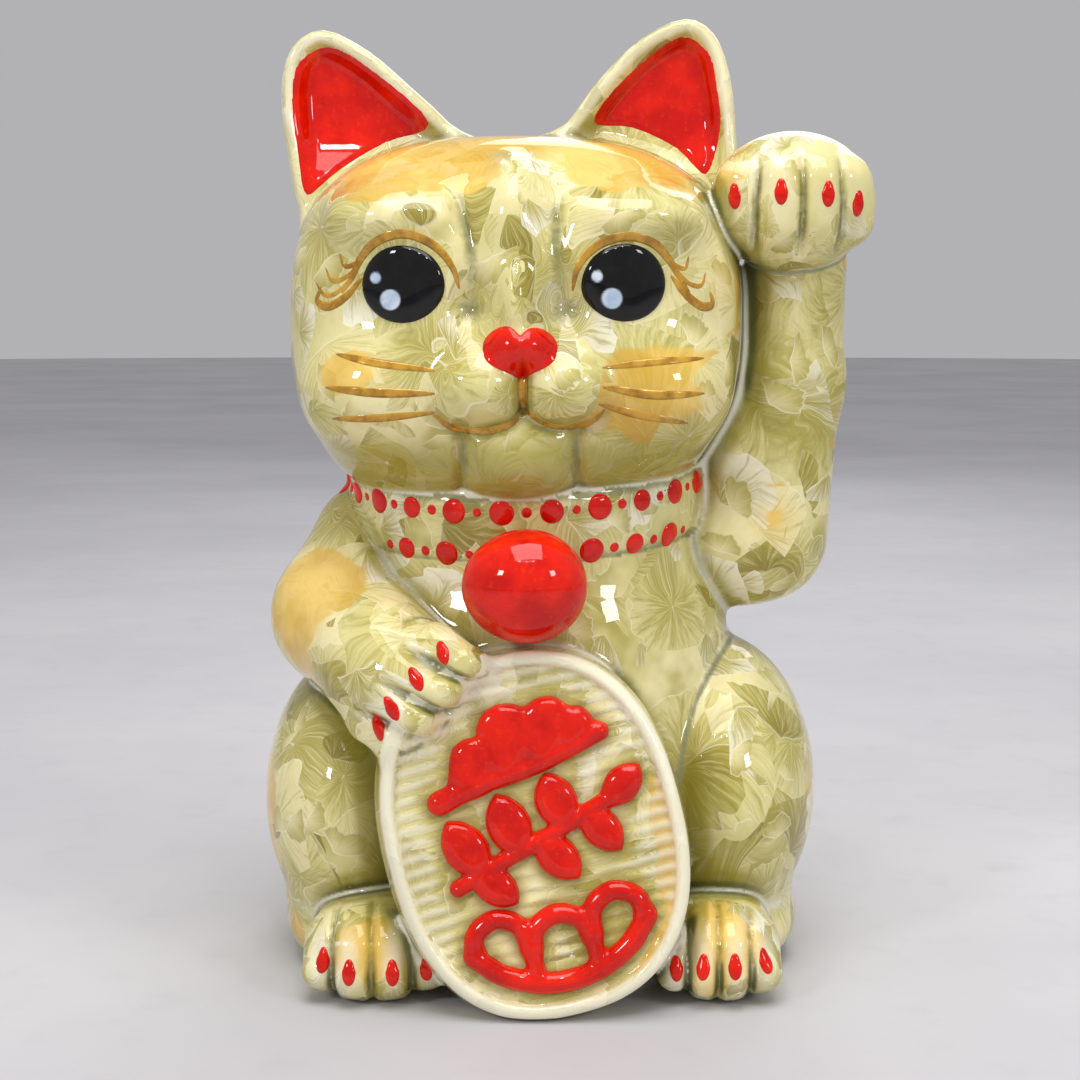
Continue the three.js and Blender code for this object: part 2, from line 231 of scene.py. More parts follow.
def head_form(p):
    d = boxy(p, SKULL, (57.0, 48.5, 46.0), 2.7)
    d = smin(d, ellipsoid(p, (-3, -13, 133), (46, 37.5, 20.5)), 6)  # jaw
    for side, cx in ((-1, -30), (1, 24)):
        d = smin(d, ellipsoid(p, (cx, -38.5, 186), (17, 13.8, 8.6)), 7)  # brow over the eye
        d = smin(d, ellipsoid(p, (cx + side * 5, -33, 145), (19, 20, 15)), 8)  # cheek
    d = smin(d, ellipsoid(p, (-3.6, -40, 187), (9.4, 13.8, 15)), 5)  # forehead between the brows
    d = smin(d, ellipsoid(p, (-2.6, -46.5, 165), (5.6, 10.5, 14)), 3)  # bridge of the nose
    d = d + 3.4 * bump(p, (SKULL[0], -52, 203), (48, 16, 15))  # the skull rounds back over the brows
    for cx, cz in EYES.values():
        d = d + 2.4 * bump(p, (cx, -50, cz - 2), (12.5, 14, 10.5))  # eye socket
    for cx, cz in HOLLOWS:
        d = d + 5.5 * bump(p, (cx, -52, cz), (4.6, 14, 6))  # hollow beside the bridge
    for cx in (-11.4, 9.0):
        d = smin(d, ellipsoid(p, (cx, -45, 146.5), (12.8, 13.6, 10.8)), 3.2)  # muzzle
    d = smin(d, ellipsoid(p, (-1.6, -51, 155.6), (7.5, 7, 5.2)), 2.6)  # tip of the nose
    d = smin(d, ellipsoid(p, (-1.8, -41, 129.4), (14, 12, 10)), 5)  # chin
    face = near(p, *FACE)
    d[face] += sum(depth * crease(p[face], points, width) for points, depth, width in FOLDS)
    return d


# Ear outlines in X and Z, from the inner root over the tip to the outer root, and the enamel fields.
EAR = {
    "ear_right": [
        (-12, 203), (-20.1, 213.1), (-30.7, 222.8), (-40.9, 231.3), (-52.8, 236.7), (-61.5, 231.6),
        (-64.4, 219.5), (-62.5, 203), (-59.7, 189), (-55, 176), (-34, 186),
    ],
    "ear_left": [
        (0, 203), (9.5, 212.9), (18.5, 224.8), (28.8, 234.4), (40.2, 239.4), (48.2, 235.4),
        (52.6, 224.5), (54.4, 208), (54.4, 192), (50, 176), (30, 186),
    ],
}
ENAMEL = {
    "ear_right": [
        (-25, 212), (-39.2, 225.3), (-50.9, 231.8), (-59, 227.8), (-61, 218.1), (-59.4, 204),
        (-56.8, 193.1), (-48, 199.5), (-37, 206.8),
    ],
    "ear_left": [
        (16.3, 212.5), (24.7, 224.1), (38.5, 234.4), (46.2, 230.6), (48.6, 222.8), (49.7, 210.3),
        (45.7, 198.4), (38, 205.5), (27, 210.8),
    ],
}
EAR_CURVE = {name: spline(points, 3, closed=True) for name, points in EAR.items()}
EAR_Y = 5.0
EAR_LEAN = 0.10  # how far the ears lean back for each mm of height
EAR_MIDDLE = 205


def ear_plane(z):
    """The Y of the middle plane of the ears at a height."""
    return EAR_Y + (z - EAR_MIDDLE) * EAR_LEAN


def ear_form(p, name):
    c = centre(name)
    close = near(p, (c[0], 8, 208), (42, 34, 46))
    d = np.full(len(p), 40, F)
    q = p[close]
    x, y, z = q.T
    flat = polygon(EAR_CURVE[name], x, z) + 1.2
    inward = np.maximum(-flat, 0)
    hollow = 5.5 * smooth(1.2, 8, inward) * smooth(190, 214, z)
    front = ear_plane(z) - 4.5 + hollow
    back = ear_plane(z) + 5.5 + 9 * (1 - np.exp(-inward / 10))
    body = smax(flat, front - y, 2.4)
    d[close] = smax(body, y - back, 5) - 0.4
    return d


TOE_REACH = 14  # the gaps between toes are pressed this far round them, mm
TOE_FADE = 5  # and fade out over this depth behind them, mm


def toes(p, d, tips, radius, k, gaps, depth, width):
    """Adds toes, each from a knuckle to a tip, and presses the (x, z) gaps between them from the front."""
    spots = np.array([spot for run in tips for spot in run])
    lo = (spots.min(0) - TOE_REACH).astype(F)
    hi = (spots.max(0) + TOE_REACH).astype(F)
    hi[1] = spots[:, 1].max() + 3
    close = np.all((p > lo) & (p < hi), axis=1)
    q = p[close]
    e = d[close]
    for knuckle, tip in tips:
        e = smin(e, cone(q, knuckle, radius, tip, radius * 0.94), k)
    fade = smooth(hi[1], hi[1] - TOE_FADE, q[:, 1])
    for gap in gaps:
        e = e + depth * fade * crease(q, gap, width)
    d[close] = e
    return d


def on_ball(c, r, x, z, sink=0.0):
    """The point of an ellipsoid's front that is seen at (x, z), sunk into it."""
    left = 1 - ((x - c[0]) / r[0]) ** 2 - ((z - c[2]) / r[2]) ** 2
    return (x, c[1] - r[1] * math.sqrt(max(left, 0.03)) + sink, z)


def raised_arm_form(p):
    d = cone(p, (60, -5, 106.5), 17.4, (66.3, -8, 146), 13.4)
    d = smin(d, cone(p, (66.3, -8, 146), 13.4, (68, -10, 182), 12.6), 6)
    d = smin(d, ellipsoid(p, (47, -3, 106), (17, 16, 18)), 8)
    return smin(d, ellipsoid(p, (52, -4, 128), (11, 15, 22)), 5)


RAISED_C = (PAW_UP[0], PAW_UP[1] + 0.6, PAW_UP[2] + 0.4)
RAISED_R = (20.4, 17.4, 17.1)
RAISED_TOES = [
    (on_ball(RAISED_C, RAISED_R, x0, 195.5, 4.5), on_ball(RAISED_C, RAISED_R, x1, 185.5, 4.1))
    for x0, x1 in ((51.4, 50.4), (60.4, 60.2), (70.8, 71.2), (77.8, 78.8))
]
RAISED_GAPS = [((top, 201), (middle, 190), (low, 177)) for top, middle, low in (
    (55.8, 54.9, 55.2), (65.6, 65.8, 65.8), (74.6, 75.4, 75.0))]


def raised_paw_form(p):
    d = ellipsoid(p, RAISED_C, RAISED_R)
    return toes(p, d, RAISED_TOES, 5.2, 4.0, RAISED_GAPS, 1.25, 1.15)


def resting_arm_form(p):
    d = cone(p, (-40, -6, 105), 15.5, (-46.2, -19, 88), 17.4)
    return smin(d, cone(p, (-46.2, -19, 88), 17.4, (-35, -44, 80.5), 15.8), 6)


RESTING_TOES = [
    ((-21.6, -55.5, 86.6), (-14.8, -62.0, 83.0)),
    ((-27.6, -57.5, 80.8), (-20.0, -64.5, 77.2)),
    ((-33.4, -57, 73.8), (-25.6, -63.5, 70.4)),
    ((-37.6, -53, 67.6), (-31.0, -58.5, 64.8)),
]
RESTING_GAPS = [
    ((-29.4, 86.6), (-20, 82.2), (-9, 77.8)),
    ((-35.2, 79.9), (-26.4, 75.6), (-14, 70.4)),
    ((-40.4, 72.8), (-32, 69), (-20, 63.8)),
]


def resting_paw_form(p):
    d = ellipsoid(p, (-29, -51.5, 77), (15, 14, 14))
    return toes(p, d, RESTING_TOES, 5.2, 3.2, RESTING_GAPS, 1.7, 1.2)


def haunch_form(p, name):
    if name == "haunch_right":
        d = ellipsoid(p, (-44.5, -5, 39.5), (24, 43, 37))
        return smin(d, ellipsoid(p, (-46, -14, 9), (16, 28, 11)), 8)
    d = ellipsoid(p, (48, -5, 42), (26.6, 43, 38.5))
    return smin(d, ellipsoid(p, (52, -14, 9), (17, 28, 11)), 8)


HIND_X = {
    # the places of the toes and of the gaps between them, along X
    "hind_paw_right": ((-49.7, -42.2, -31.8, -23.6), (-46.3, -36.9, -27.5)),
    "hind_paw_left": ((35.0, 41.6, 49.3, 56.6), (38.2, 45.3, 53.0)),
}


def hind_paw_form(p, name):
    c = centre(name)
    r = half(name)
    d = boxy(p, (c[0], c[1] + 1, 10.3), (r[0] - 0.6, r[1] - 2.6, 12.6), 2.4)
    toe_x, gap_x = HIND_X[name]
    mid = (toe_x[0] + toe_x[-1]) / 2
    tips = []
    for x in toe_x:
        back = 0.024 * (x - mid) ** 2
        tips.append(((x * 0.97 + mid * 0.03, -52 + back, 12.5), (x, -60.6 + back, 7.4)))
    gaps = [((x * 0.95 + mid * 0.05, 24), (x, 12), (x, -8)) for x in gap_x]  # they end below the floor
    return toes(p, d, tips, 4.5, 2.8, gaps, 1.4, 1.2)


def tail_form(p):
    c = centre("tail")
    return ellipsoid(p, (c[0], c[1] - 3, c[2]), (14, 13, 15.5))


# ---- collar and plate frames
COLLAR_AT = np.array([0.0, -2.0, 117.9])
COLLAR_TILT = math.radians(7.8)
COLLAR_ROLL = math.radians(1.8)
COLLAR_RX, COLLAR_RY = 44.2, 42.0
BAND_HALF = 7.7
BAND_ROUND = 1.4


def tilted_axes(lean, turn):
    """Columns: a frame leant back about X, after a turn about its own Y."""
    cl, sl = math.cos(lean), math.sin(lean)
    ct, st = math.cos(turn), math.sin(turn)
    leaning = np.array([[1, 0, 0], [0, cl, -sl], [0, sl, cl]])
    turning = np.array([[ct, 0, -st], [0, 1, 0], [st, 0, ct]])
    return leaning @ turning


COLLAR_M = tilted_axes(COLLAR_TILT, COLLAR_ROLL)


def collar_local(p):
    return ((p - COLLAR_AT.astype(F)) @ COLLAR_M.astype(F)).T


def collar_form(p):
    x, y, z = collar_local(p)
    stretch = np.sqrt(np.square(x / COLLAR_RX) + np.square(y / COLLAR_RY)) + TINY
    radial = (stretch - 1) * np.sqrt(x * x + y * y) / stretch
    crown = 0.7 * np.square(np.clip(z / BAND_HALF, -1, 1))
    out = np.maximum(np.abs(radial) + crown - 0.6, 0)
    up = np.maximum(np.abs(z) - BAND_HALF + BAND_ROUND, 0)
    return length(np.stack([out, up], 1)) - BAND_ROUND


PLATE_AT = np.array([2.0, -66.0, 43.3])
PLATE_LEAN = math.radians(8)
PLATE_TILT = math.radians(13.9)
PLATE_A, PLATE_B, PLATE_N = 34.4, 42.5, 2.385
PLATE_RIM = 2.5
PLATE_SINK = 1.4
PLATE_THICK = 13
RIDGE_PITCH = 3.3
RIDGE_HIGH = 0.2
PLATE_M = tilted_axes(-PLATE_LEAN, PLATE_TILT)


def plate_local(p):
    return ((p - PLATE_AT.astype(F)) @ PLATE_M.astype(F)).T


def plate_world(q):
    return np.asarray(q) @ PLATE_M.T + PLATE_AT


def plate_outline(x, z, a, b):
    return boxy(np.stack([x, z * 0, z], 1).astype(F), (0, 0, 0), (a, 50, b), PLATE_N)


def ridge_phase(x, z):
    """The angle of the shallow waves that run across the field of the plate."""
    return z * (2 * math.pi / RIDGE_PITCH) + 0.7 * np.sin(x * 0.14)


def plate_form(p):
    x, y, z = plate_local(p)
    depth = np.clip(y, 0, 14)
    flare = 0.10 * depth + 0.14 * depth * smooth(6, -26, x)
    edge = plate_outline(x, z, PLATE_A, PLATE_B) - flare
    inner = -plate_outline(x, z, PLATE_A - PLATE_RIM, PLATE_B - PLATE_RIM)
    field = smooth(-0.5, 1.5, inner)
    ridges = RIDGE_HIGH * np.cos(ridge_phase(x, z)) * smooth(0, 2.5, inner)
    front = field * (PLATE_SINK + ridges)
    body = smax(edge, front - y, 2.2)
    return smax(body, y - PLATE_THICK, 3)


# ---- the whole glazed skin
FORMS = [
    # CAD node, form, softness of the seam to what comes before, wall
    ("torso_casting", torso_form, 0, 4.5),
    ("haunch_right", lambda p: haunch_form(p, "haunch_right"), 3.2, 3),
    ("haunch_left", lambda p: haunch_form(p, "haunch_left"), 3.2, 3),
    ("tail", tail_form, 3.5, 2.5),
    ("oval_plate", plate_form, 2.4, 2.5),
    ("hind_paw_right", lambda p: hind_paw_form(p, "hind_paw_right"), 2.6, 2),
    ("hind_paw_left", lambda p: hind_paw_form(p, "hind_paw_left"), 2.6, 2),
    ("collar_band", collar_form, 1.2, 1.5),
    ("head_casting", head_form, 3.6, 4.5),
    ("ear_right", lambda p: ear_form(p, "ear_right"), 5, 2),
    ("ear_left", lambda p: ear_form(p, "ear_left"), 5, 2),
    ("resting_arm", resting_arm_form, 2.6, 2.5),
    ("resting_paw", resting_paw_form, 5, 2),
    ("raised_arm", raised_arm_form, 3.6, 2.5),
    ("raised_paw", raised_paw_form, 2.2, 2),
]
NAMES = [f[0] for f in FORMS]


FOOT_ROUND = 1.6


def skin_chunk(p):
    """The distance to the whole skin, and to each form on its own."""
    each = np.empty((len(FORMS), len(p)), F)
    total = None
    for i, (_, form, soft, _) in enumerate(FORMS):
        each[i] = form(p)
        total = each[i].copy() if total is None else smin(total, each[i], soft)
    floor = F(BASE_Z) - p[:, 2]
    return smax(total, floor, FOOT_ROUND), each


def in_chunks(work, p):
    """What work gives for each chunk of the points, in order."""
    p = np.ascontiguousarray(p, F)
    parts = [p[i : i + CHUNK] for i in range(0, len(p), CHUNK)] or [p]
    with ThreadPoolExecutor(4) as pool:
        return list(pool.map(work, parts))


def skin(p):
    return np.concatenate([r[0] for r in in_chunks(skin_chunk, p)])


def owners(p):
    return np.concatenate([r[1] for r in in_chunks(skin_chunk, p)], axis=1)


TETRA = np.array([(1, 1, 1), (1, -1, -1), (-1, 1, -1), (-1, -1, 1)], F)


def gradient(field, p, e=0.35):
    """The unit direction in which a field grows, felt over e mm."""
    g = sum(t * field(p + t * F(e))[:, None] for t in TETRA)
    return g / (np.linalg.norm(g, axis=1, keepdims=True) + 1e-9)


# ---- surface nets
CORNERS = np.array([(i, j, k) for i in (0, 1) for j in (0, 1) for k in (0, 1)])
EDGES = [(a, b) for a in range(8) for b in range(a + 1, 8) if abs(CORNERS[a] - CORNERS[b]).sum() == 1]
BLOCK = 4  # cells along the side of a block that is kept or left out as a whole
BLOCK_REACH = 1.25  # a block this many sides away from the surface is left out


def surface_net(field, lo, hi, step):
    """Quads of the zero surface of a distance field inside a box."""
    lo = np.asarray(lo, float)
    blocks = np.ceil((np.asarray(hi) - lo) / step / BLOCK).astype(int)
    grid = np.stack(np.meshgrid(*[np.arange(b) for b in blocks], indexing="ij"), -1).reshape(-1, 3)
    middle = lo + (grid + 0.5) * BLOCK * step
    keep = np.abs(field(middle)) < BLOCK_REACH * BLOCK * step
    keep = keep.reshape(blocks)
    cells = keep.repeat(BLOCK, 0).repeat(BLOCK, 1).repeat(BLOCK, 2)
    nodes = np.zeros(np.array(cells.shape) + 1, bool)
    for i, j, k in CORNERS:
        nodes[i : i + cells.shape[0], j : j + cells.shape[1], k : k + cells.shape[2]] |= cells
    values = np.ones(nodes.shape, F)
    values[nodes] = field(lo + np.argwhere(nodes) * step)
    inside = values < 0
    count = np.zeros(cells.shape, np.uint8)
    for i, j, k in CORNERS:
        count += inside[i : i + cells.shape[0], j : j + cells.shape[1], k : k + cells.shape[2]]
    active = cells & (count > 0) & (count < 8)
    at = np.argwhere(active)
    corner = np.stack([values[tuple((at + c).T)] for c in CORNERS], 1)
    place = np.zeros((len(at), 3))
    hits = np.zeros(len(at))
    for a, b in EDGES:
        va, vb = corner[:, a], corner[:, b]
        cross = (va < 0) != (vb < 0)
        t = np.where(cross, va / np.where(cross, va - vb, 1), 0)[:, None]
        place += cross[:, None] * (CORNERS[a] + t * (CORNERS[b] - CORNERS[a]))
        hits += cross
    verts = lo + (at + place / hits[:, None]) * step
    index = np.full(cells.shape, -1, np.int32)
    index[active] = np.arange(len(at))
    quads = []
    for axis in range(3):
        first = [slice(None)] * 3
        second = [slice(None)] * 3
        first[axis], second[axis] = slice(None, -1), slice(1, None)
        first, second = tuple(first), tuple(second)
        change = (inside[first] != inside[second]) & nodes[first] & nodes[second]
        e = np.argwhere(change)
        u, v = (axis + 1) % 3, (axis + 2) % 3
        e = e[(e[:, u] > 0) & (e[:, v] > 0) & (e[:, u] < cells.shape[u]) & (e[:, v] < cells.shape[v])]
        ring = []
        for du, dv in ((-1, -1), (0, -1), (0, 0), (-1, 0)):
            c = e.copy()
            c[:, u] += du
            c[:, v] += dv
            ring.append(index[tuple(c.T)])
        q = np.stack(ring, 1)
        out = inside[tuple(e.T)]
        q[~out] = q[~out][:, ::-1]
        quads.append(q[(q >= 0).all(1)])
    return verts, np.concatenate(quads)


def settle(field, verts, rounds=2, reach=0.6):
    """Moves vertices onto the zero surface."""
    for _ in range(rounds):
        d = field(verts)
        g = gradient(field, verts)
        verts = verts - g * np.clip(d, -reach, reach)[:, None]
    return verts


# ---- meshes
def build(name, verts, faces, normals=None, values=None, material=None):
    """A Blender mesh from vertices in mm and lists of quads or triangles."""
    mesh = bpy.data.meshes.new(name)
    loops = np.concatenate([f.ravel() for f in faces]).astype(np.int32)
    sizes = np.concatenate([np.full(len(f), f.shape[1]) for f in faces]).astype(np.int32)
    mesh.vertices.add(len(verts))
    mesh.vertices.foreach_set("co", (np.asarray(verts) * MM).astype(F).ravel())
    mesh.loops.add(len(loops))
    mesh.loops.foreach_set("vertex_index", loops)
    mesh.polygons.add(len(sizes))
    starts = np.concatenate([[0], np.cumsum(sizes)[:-1]]).astype(np.int32)
    mesh.polygons.foreach_set("loop_start", starts)
    mesh.polygons.foreach_set("loop_total", sizes)
    mesh.update(calc_edges=True)
    mesh.polygons.foreach_set("use_smooth", np.ones(len(sizes), bool))
    for key, value in (values or {}).items():
        layer = mesh.attributes.new(key, "FLOAT", "POINT")
        layer.data.foreach_set("value", np.asarray(value, F))
    if normals is not None:
        mesh.normals_split_custom_set_from_vertices(np.asarray(normals, F))
    obj = bpy.data.objects.new(name, mesh)
    bpy.context.scene.collection.objects.link(obj)
    mesh.materials.append(material)
    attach(obj, "root")
    return obj


def piece(slot, nodes, *mesh, **more):
    """A Blender mesh that stands for CAD nodes, or for none if it is painted on."""
    obj = build(*mesh, **more)
    if nodes:
        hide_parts(*nodes)


def rim_edges(quads):
    """Directed edges of the faces that no neighbour shares."""
    a = quads.ravel().astype(np.int64)
    b = np.roll(quads, -1, axis=1).ravel().astype(np.int64)
    big = int(max(a.max(), b.max())) + 1
    lone = ~np.isin(a * big + b, b * big + a)
    return a[lone], b[lone]


def tidy_labels(quads, label, count):
    """Gives faces round a vertex where a seam touches itself to one owner."""
    for _ in range(6):
        changed = False
        for k in range(count):
            mine = quads[label == k]
            if not len(mine):
                continue
            a, _ = rim_edges(mine)
            ids, times = np.unique(a, return_counts=True)
            bad = ids[times > 1]
            if len(bad):
                touch = np.isin(quads, bad).any(1)
                label[touch & (label != k)] = k
                changed = True
        if not changed:
            break
    return label


def shell(node, verts, normals, quads, wall, values):
    """A closed piece: the outer faces, the same faces set in by the wall, and the rim between."""
    used, inverse = np.unique(quads, return_inverse=True)
    local = inverse.reshape(quads.shape)
    n = len(used)
    outer = verts[used]
    inner = outer - normals[used] * wall
    a, b = rim_edges(local)
    rim = np.stack([b, a, a + n, b + n], 1)
    faces = np.concatenate([local, local[:, ::-1] + n, rim])
    both = {k: np.concatenate([v[used], v[used]]) for k, v in values.items()}
    custom = np.concatenate([normals[used], -normals[used]])
    name = node.replace("_casting", "") + "_glazed"
    piece("crystal_glaze", [node], name, np.concatenate([outer, inner]), [faces], custom, both, GLAZE)


# ---- laying things on the skin
AHEAD = -90.0  # the Y of a plane in front of the whole figurine
STRIDE = 0.85  # the share of the distance that a point dares to go at once


def strike(points):
    """Runs points backwards, along +Y, until they meet the skin."""
    q = np.array(points, float)
    for _ in range(30):
        q[:, 1] += skin(q) * STRIDE
    return q


def press(points, normals):
    """Slides points near the skin along given normals until they lie on it."""
    q = np.array(points, float)
    for _ in range(5):
        q -= normals * np.clip(skin(q), -2, 2)[:, None]
    return q


def ring_faces(rings, spokes):
    """Quads between rings of vertices, and the triangles of the two closing fans."""
    i, j = np.meshgrid(np.arange(rings - 1), np.arange(spokes), indexing="ij")
    i, j = i.ravel(), j.ravel()
    k = (j + 1) % spokes
    quads = np.stack([i * spokes + j, i * spokes + k, (i + 1) * spokes + k, (i + 1) * spokes + j], 1)
    s = np.arange(spokes)
    t = (s + 1) % spokes
    last = (rings - 1) * spokes
    top = np.stack([np.full(spokes, rings * spokes), t, s], 1)
    bottom = np.stack([np.full(spokes, rings * spokes + 1), last + s, last + t], 1)
    return quads[:, ::-1], top[:, ::-1], bottom[:, ::-1]


def drops(at, radius, high, turn=0.0, normal=None, rings=9, sunk=0.7, dome=2.0):
    """Raised drops of enamel laid on the skin: one (vertices, faces) for each place.

    radius holds the outline of each drop, its reach in mm at even angles anticlockwise from the right.
    """
    at = np.asarray(at, float)
    radius = np.asarray(radius, float)
    count, spokes = radius.shape
    n = gradient(skin, at, 0.8) if normal is None else np.broadcast_to(normal, (count, 3))
    n = np.array(n, float)
    across = np.cross([0.0, 0, 1], n)
    across /= np.linalg.norm(across, axis=1, keepdims=True)
    up = np.cross(n, across)
    angle = np.arange(spokes) * 2 * math.pi / spokes
    share = np.sin(np.linspace(0.04, 1, rings) * math.pi / 2)
    reach = share[None, :, None] * radius[:, None, :]
    turn = np.broadcast_to(turn, count)[:, None, None]
    u = (reach * np.cos(angle + turn)).reshape(count, -1)
    v = (reach * np.sin(angle + turn)).reshape(count, -1)
    u = np.pad(u, ((0, 0), (0, 1)))[..., None]
    v = np.pad(v, ((0, 0), (0, 1)))[..., None]
    flat = at[:, None] + u * across[:, None] + v * up[:, None]
    size = flat.shape[1]
    base = press(flat.reshape(-1, 3), np.repeat(n, size, axis=0))
    lift = gradient(skin, base, 1.2).reshape(count, size, 3)
    base = base.reshape(count, size, 3)
    rise = np.power(1 - np.power(share, dome), 0.5) - 0.12 * share**8
    rise = np.append(np.repeat(rise, spokes), 1.0)
    top = base + lift * (np.broadcast_to(high, count)[:, None] * rise)[..., None]
    rim = slice((rings - 1) * spokes, rings * spokes)
    under = base[:, rim] - lift[:, rim] * sunk
    verts = np.concatenate([top[:, :-1], under, top[:, -1:], under.mean(1, keepdims=True)], axis=1)
    faces = ring_faces(rings + 1, spokes)
    return [(v, faces) for v in verts]


def join_parts(parts):
    """Several (vertices, faces) joined into one."""
    verts, faces, start = [], [], 0
    for v, groups in parts:
        verts.append(v)
        faces.extend(g + start for g in groups)
        start += len(v)
    return np.concatenate(verts), faces


LINE_SECTION = ((-1, -0.3), (-1, 0.03), (-0.5, 0.07), (0, 0.08), (0.5, 0.07), (1, 0.03), (1, -0.3))


def lines(specs, thin=0.15, per=8):
    """Painted lines through (x, z) points as seen from the front, widest near their middle."""
    curves = [np.array(spline(points, per)) for points, _ in specs]
    start = np.concatenate([np.stack([c[:, 0], np.full(len(c), AHEAD), c[:, 1]], 1) for c in curves])
    pts = strike(start)
    n = gradient(skin, pts).astype(float)
    side = np.empty_like(pts)
    wide = np.empty(len(pts))
    done = 0
    for c, (_, widest) in zip(curves, specs):
        part = slice(done, done + len(c))
        done += len(c)
        s = np.cross(n[part], np.gradient(pts[part], axis=0))
        side[part] = s / (np.linalg.norm(s, axis=1, keepdims=True) + 1e-9)
        swell = np.power(np.sin(np.linspace(0, 1, len(c)) * math.pi), 0.6)
        wide[part] = widest * (thin + (1 - thin) * swell) / 2
    count = len(LINE_SECTION)
    rows = np.stack([pts + side * (wide * u)[:, None] for u, _ in LINE_SECTION], 1).reshape(-1, 3)
    rows = press(rows, np.repeat(n, count, axis=0)).reshape(-1, count, 3)
    rows += n[:, None] * np.array([h for _, h in LINE_SECTION])[None, :, None]
    out = []
    done = 0
    for c in curves:
        verts = rows[done : done + len(c)].reshape(-1, 3)
        done += len(c)
        i = np.arange(len(c) - 1)[:, None] * count
        k = np.arange(count)[None, :]
        l = (k + 1) % count
        quads = np.stack([i + k, i + l, i + count + l, i + count + k], -1).reshape(-1, 4)
        first = np.arange(count)[::-1][None]
        last = (np.arange(count) + (len(c) - 1) * count)[None]
        out.append((verts, [quads, first, last]))
    return out


# ---- materials
def linear(rgb):
    """An sRGB colour of 0 to 255 as linear values with alpha."""
    out = [(c / 255) / 12.92 if c <= 10 else ((c / 255 + 0.055) / 1.055) ** 2.4 for c in rgb]
    return (*out, 1.0)


class Tree:
    """A short way to write node trees: each call adds a node and gives its first output."""

    def __init__(self, name):
        self.material = bpy.data.materials.new(name)
        self.material.use_nodes = True
        self.tree = self.material.node_tree
        self.shader = self.tree.nodes["Principled BSDF"]

    def put(self, socket, value):
        if isinstance(value, bpy.types.NodeSocket):
            self.tree.links.new(value, socket)
        elif value is not None:
            socket.default_value = value

    def node(self, kind, *values, out=0, **settings):
        n = self.tree.nodes.new("ShaderNode" + kind)
        named = settings.pop("named", {})
        for key, value in settings.items():
            setattr(n, key, value)
        for socket, value in zip(n.inputs, values):
            self.put(socket, value)
        for key, value in named.items():
            self.put(n.inputs[key], value)
        return n.outputs[out]

    def math(self, op, *values):
        return self.node("Math", *values, operation=op)

    def vmath(self, op, *values):
        out = 1 if op in ("DOT_PRODUCT", "LENGTH", "DISTANCE") else 0
        n = self.tree.nodes.new("ShaderNodeVectorMath")
        n.operation = op
        if op == "SCALE":
            self.put(n.inputs[0], values[0])
            self.put(n.inputs["Scale"], values[1])
        else:
            for socket, value in zip(n.inputs, values):
                self.put(socket, value)
        return n.outputs[out]

    def step(self, low, high, value, to_low=0.0, to_high=1.0):
        named = {"Value": value, "From Min": low, "From Max": high, "To Min": to_low, "To Max": to_high}
        return self.node("MapRange", named=named, interpolation_type="SMOOTHSTEP")

    def mix(self, factor, a, b, blend="MIX"):
        n = self.tree.nodes.new("ShaderNodeMix")
        n.data_type = "RGBA"
        n.blend_type = blend
        n.clamp_factor = True
        self.put(n.inputs[0], factor)
        self.put(n.inputs[6], a)
        self.put(n.inputs[7], b)
        return n.outputs[2]

    def noise(self, vector, scale, detail=2.0, rough=0.5, out=0):
        named = {"Vector": vector, "Scale": scale, "Detail": detail, "Roughness": rough}
        return self.node("TexNoise", named=named, out=out)

    def attribute(self, name):
        return self.node("Attribute", out=2, attribute_name=name, attribute_type="GEOMETRY")

    def bump(self, height, strength, distance, normal=None):
        named = {"Strength": strength, "Distance": distance, "Height": height, "Normal": normal}
        return self.node("Bump", named=named)

    def set(self, **values):
        for key, value in values.items():
            self.put(self.shader.inputs[key.replace("_", " ")], value)


def glossy_coat(t, weight=1.0):
    """All the shine comes from one clear coat."""
    t.set(Specular_IOR_Level=0.0, Coat_Weight=weight, Coat_Roughness=0.025, Coat_IOR=1.5)


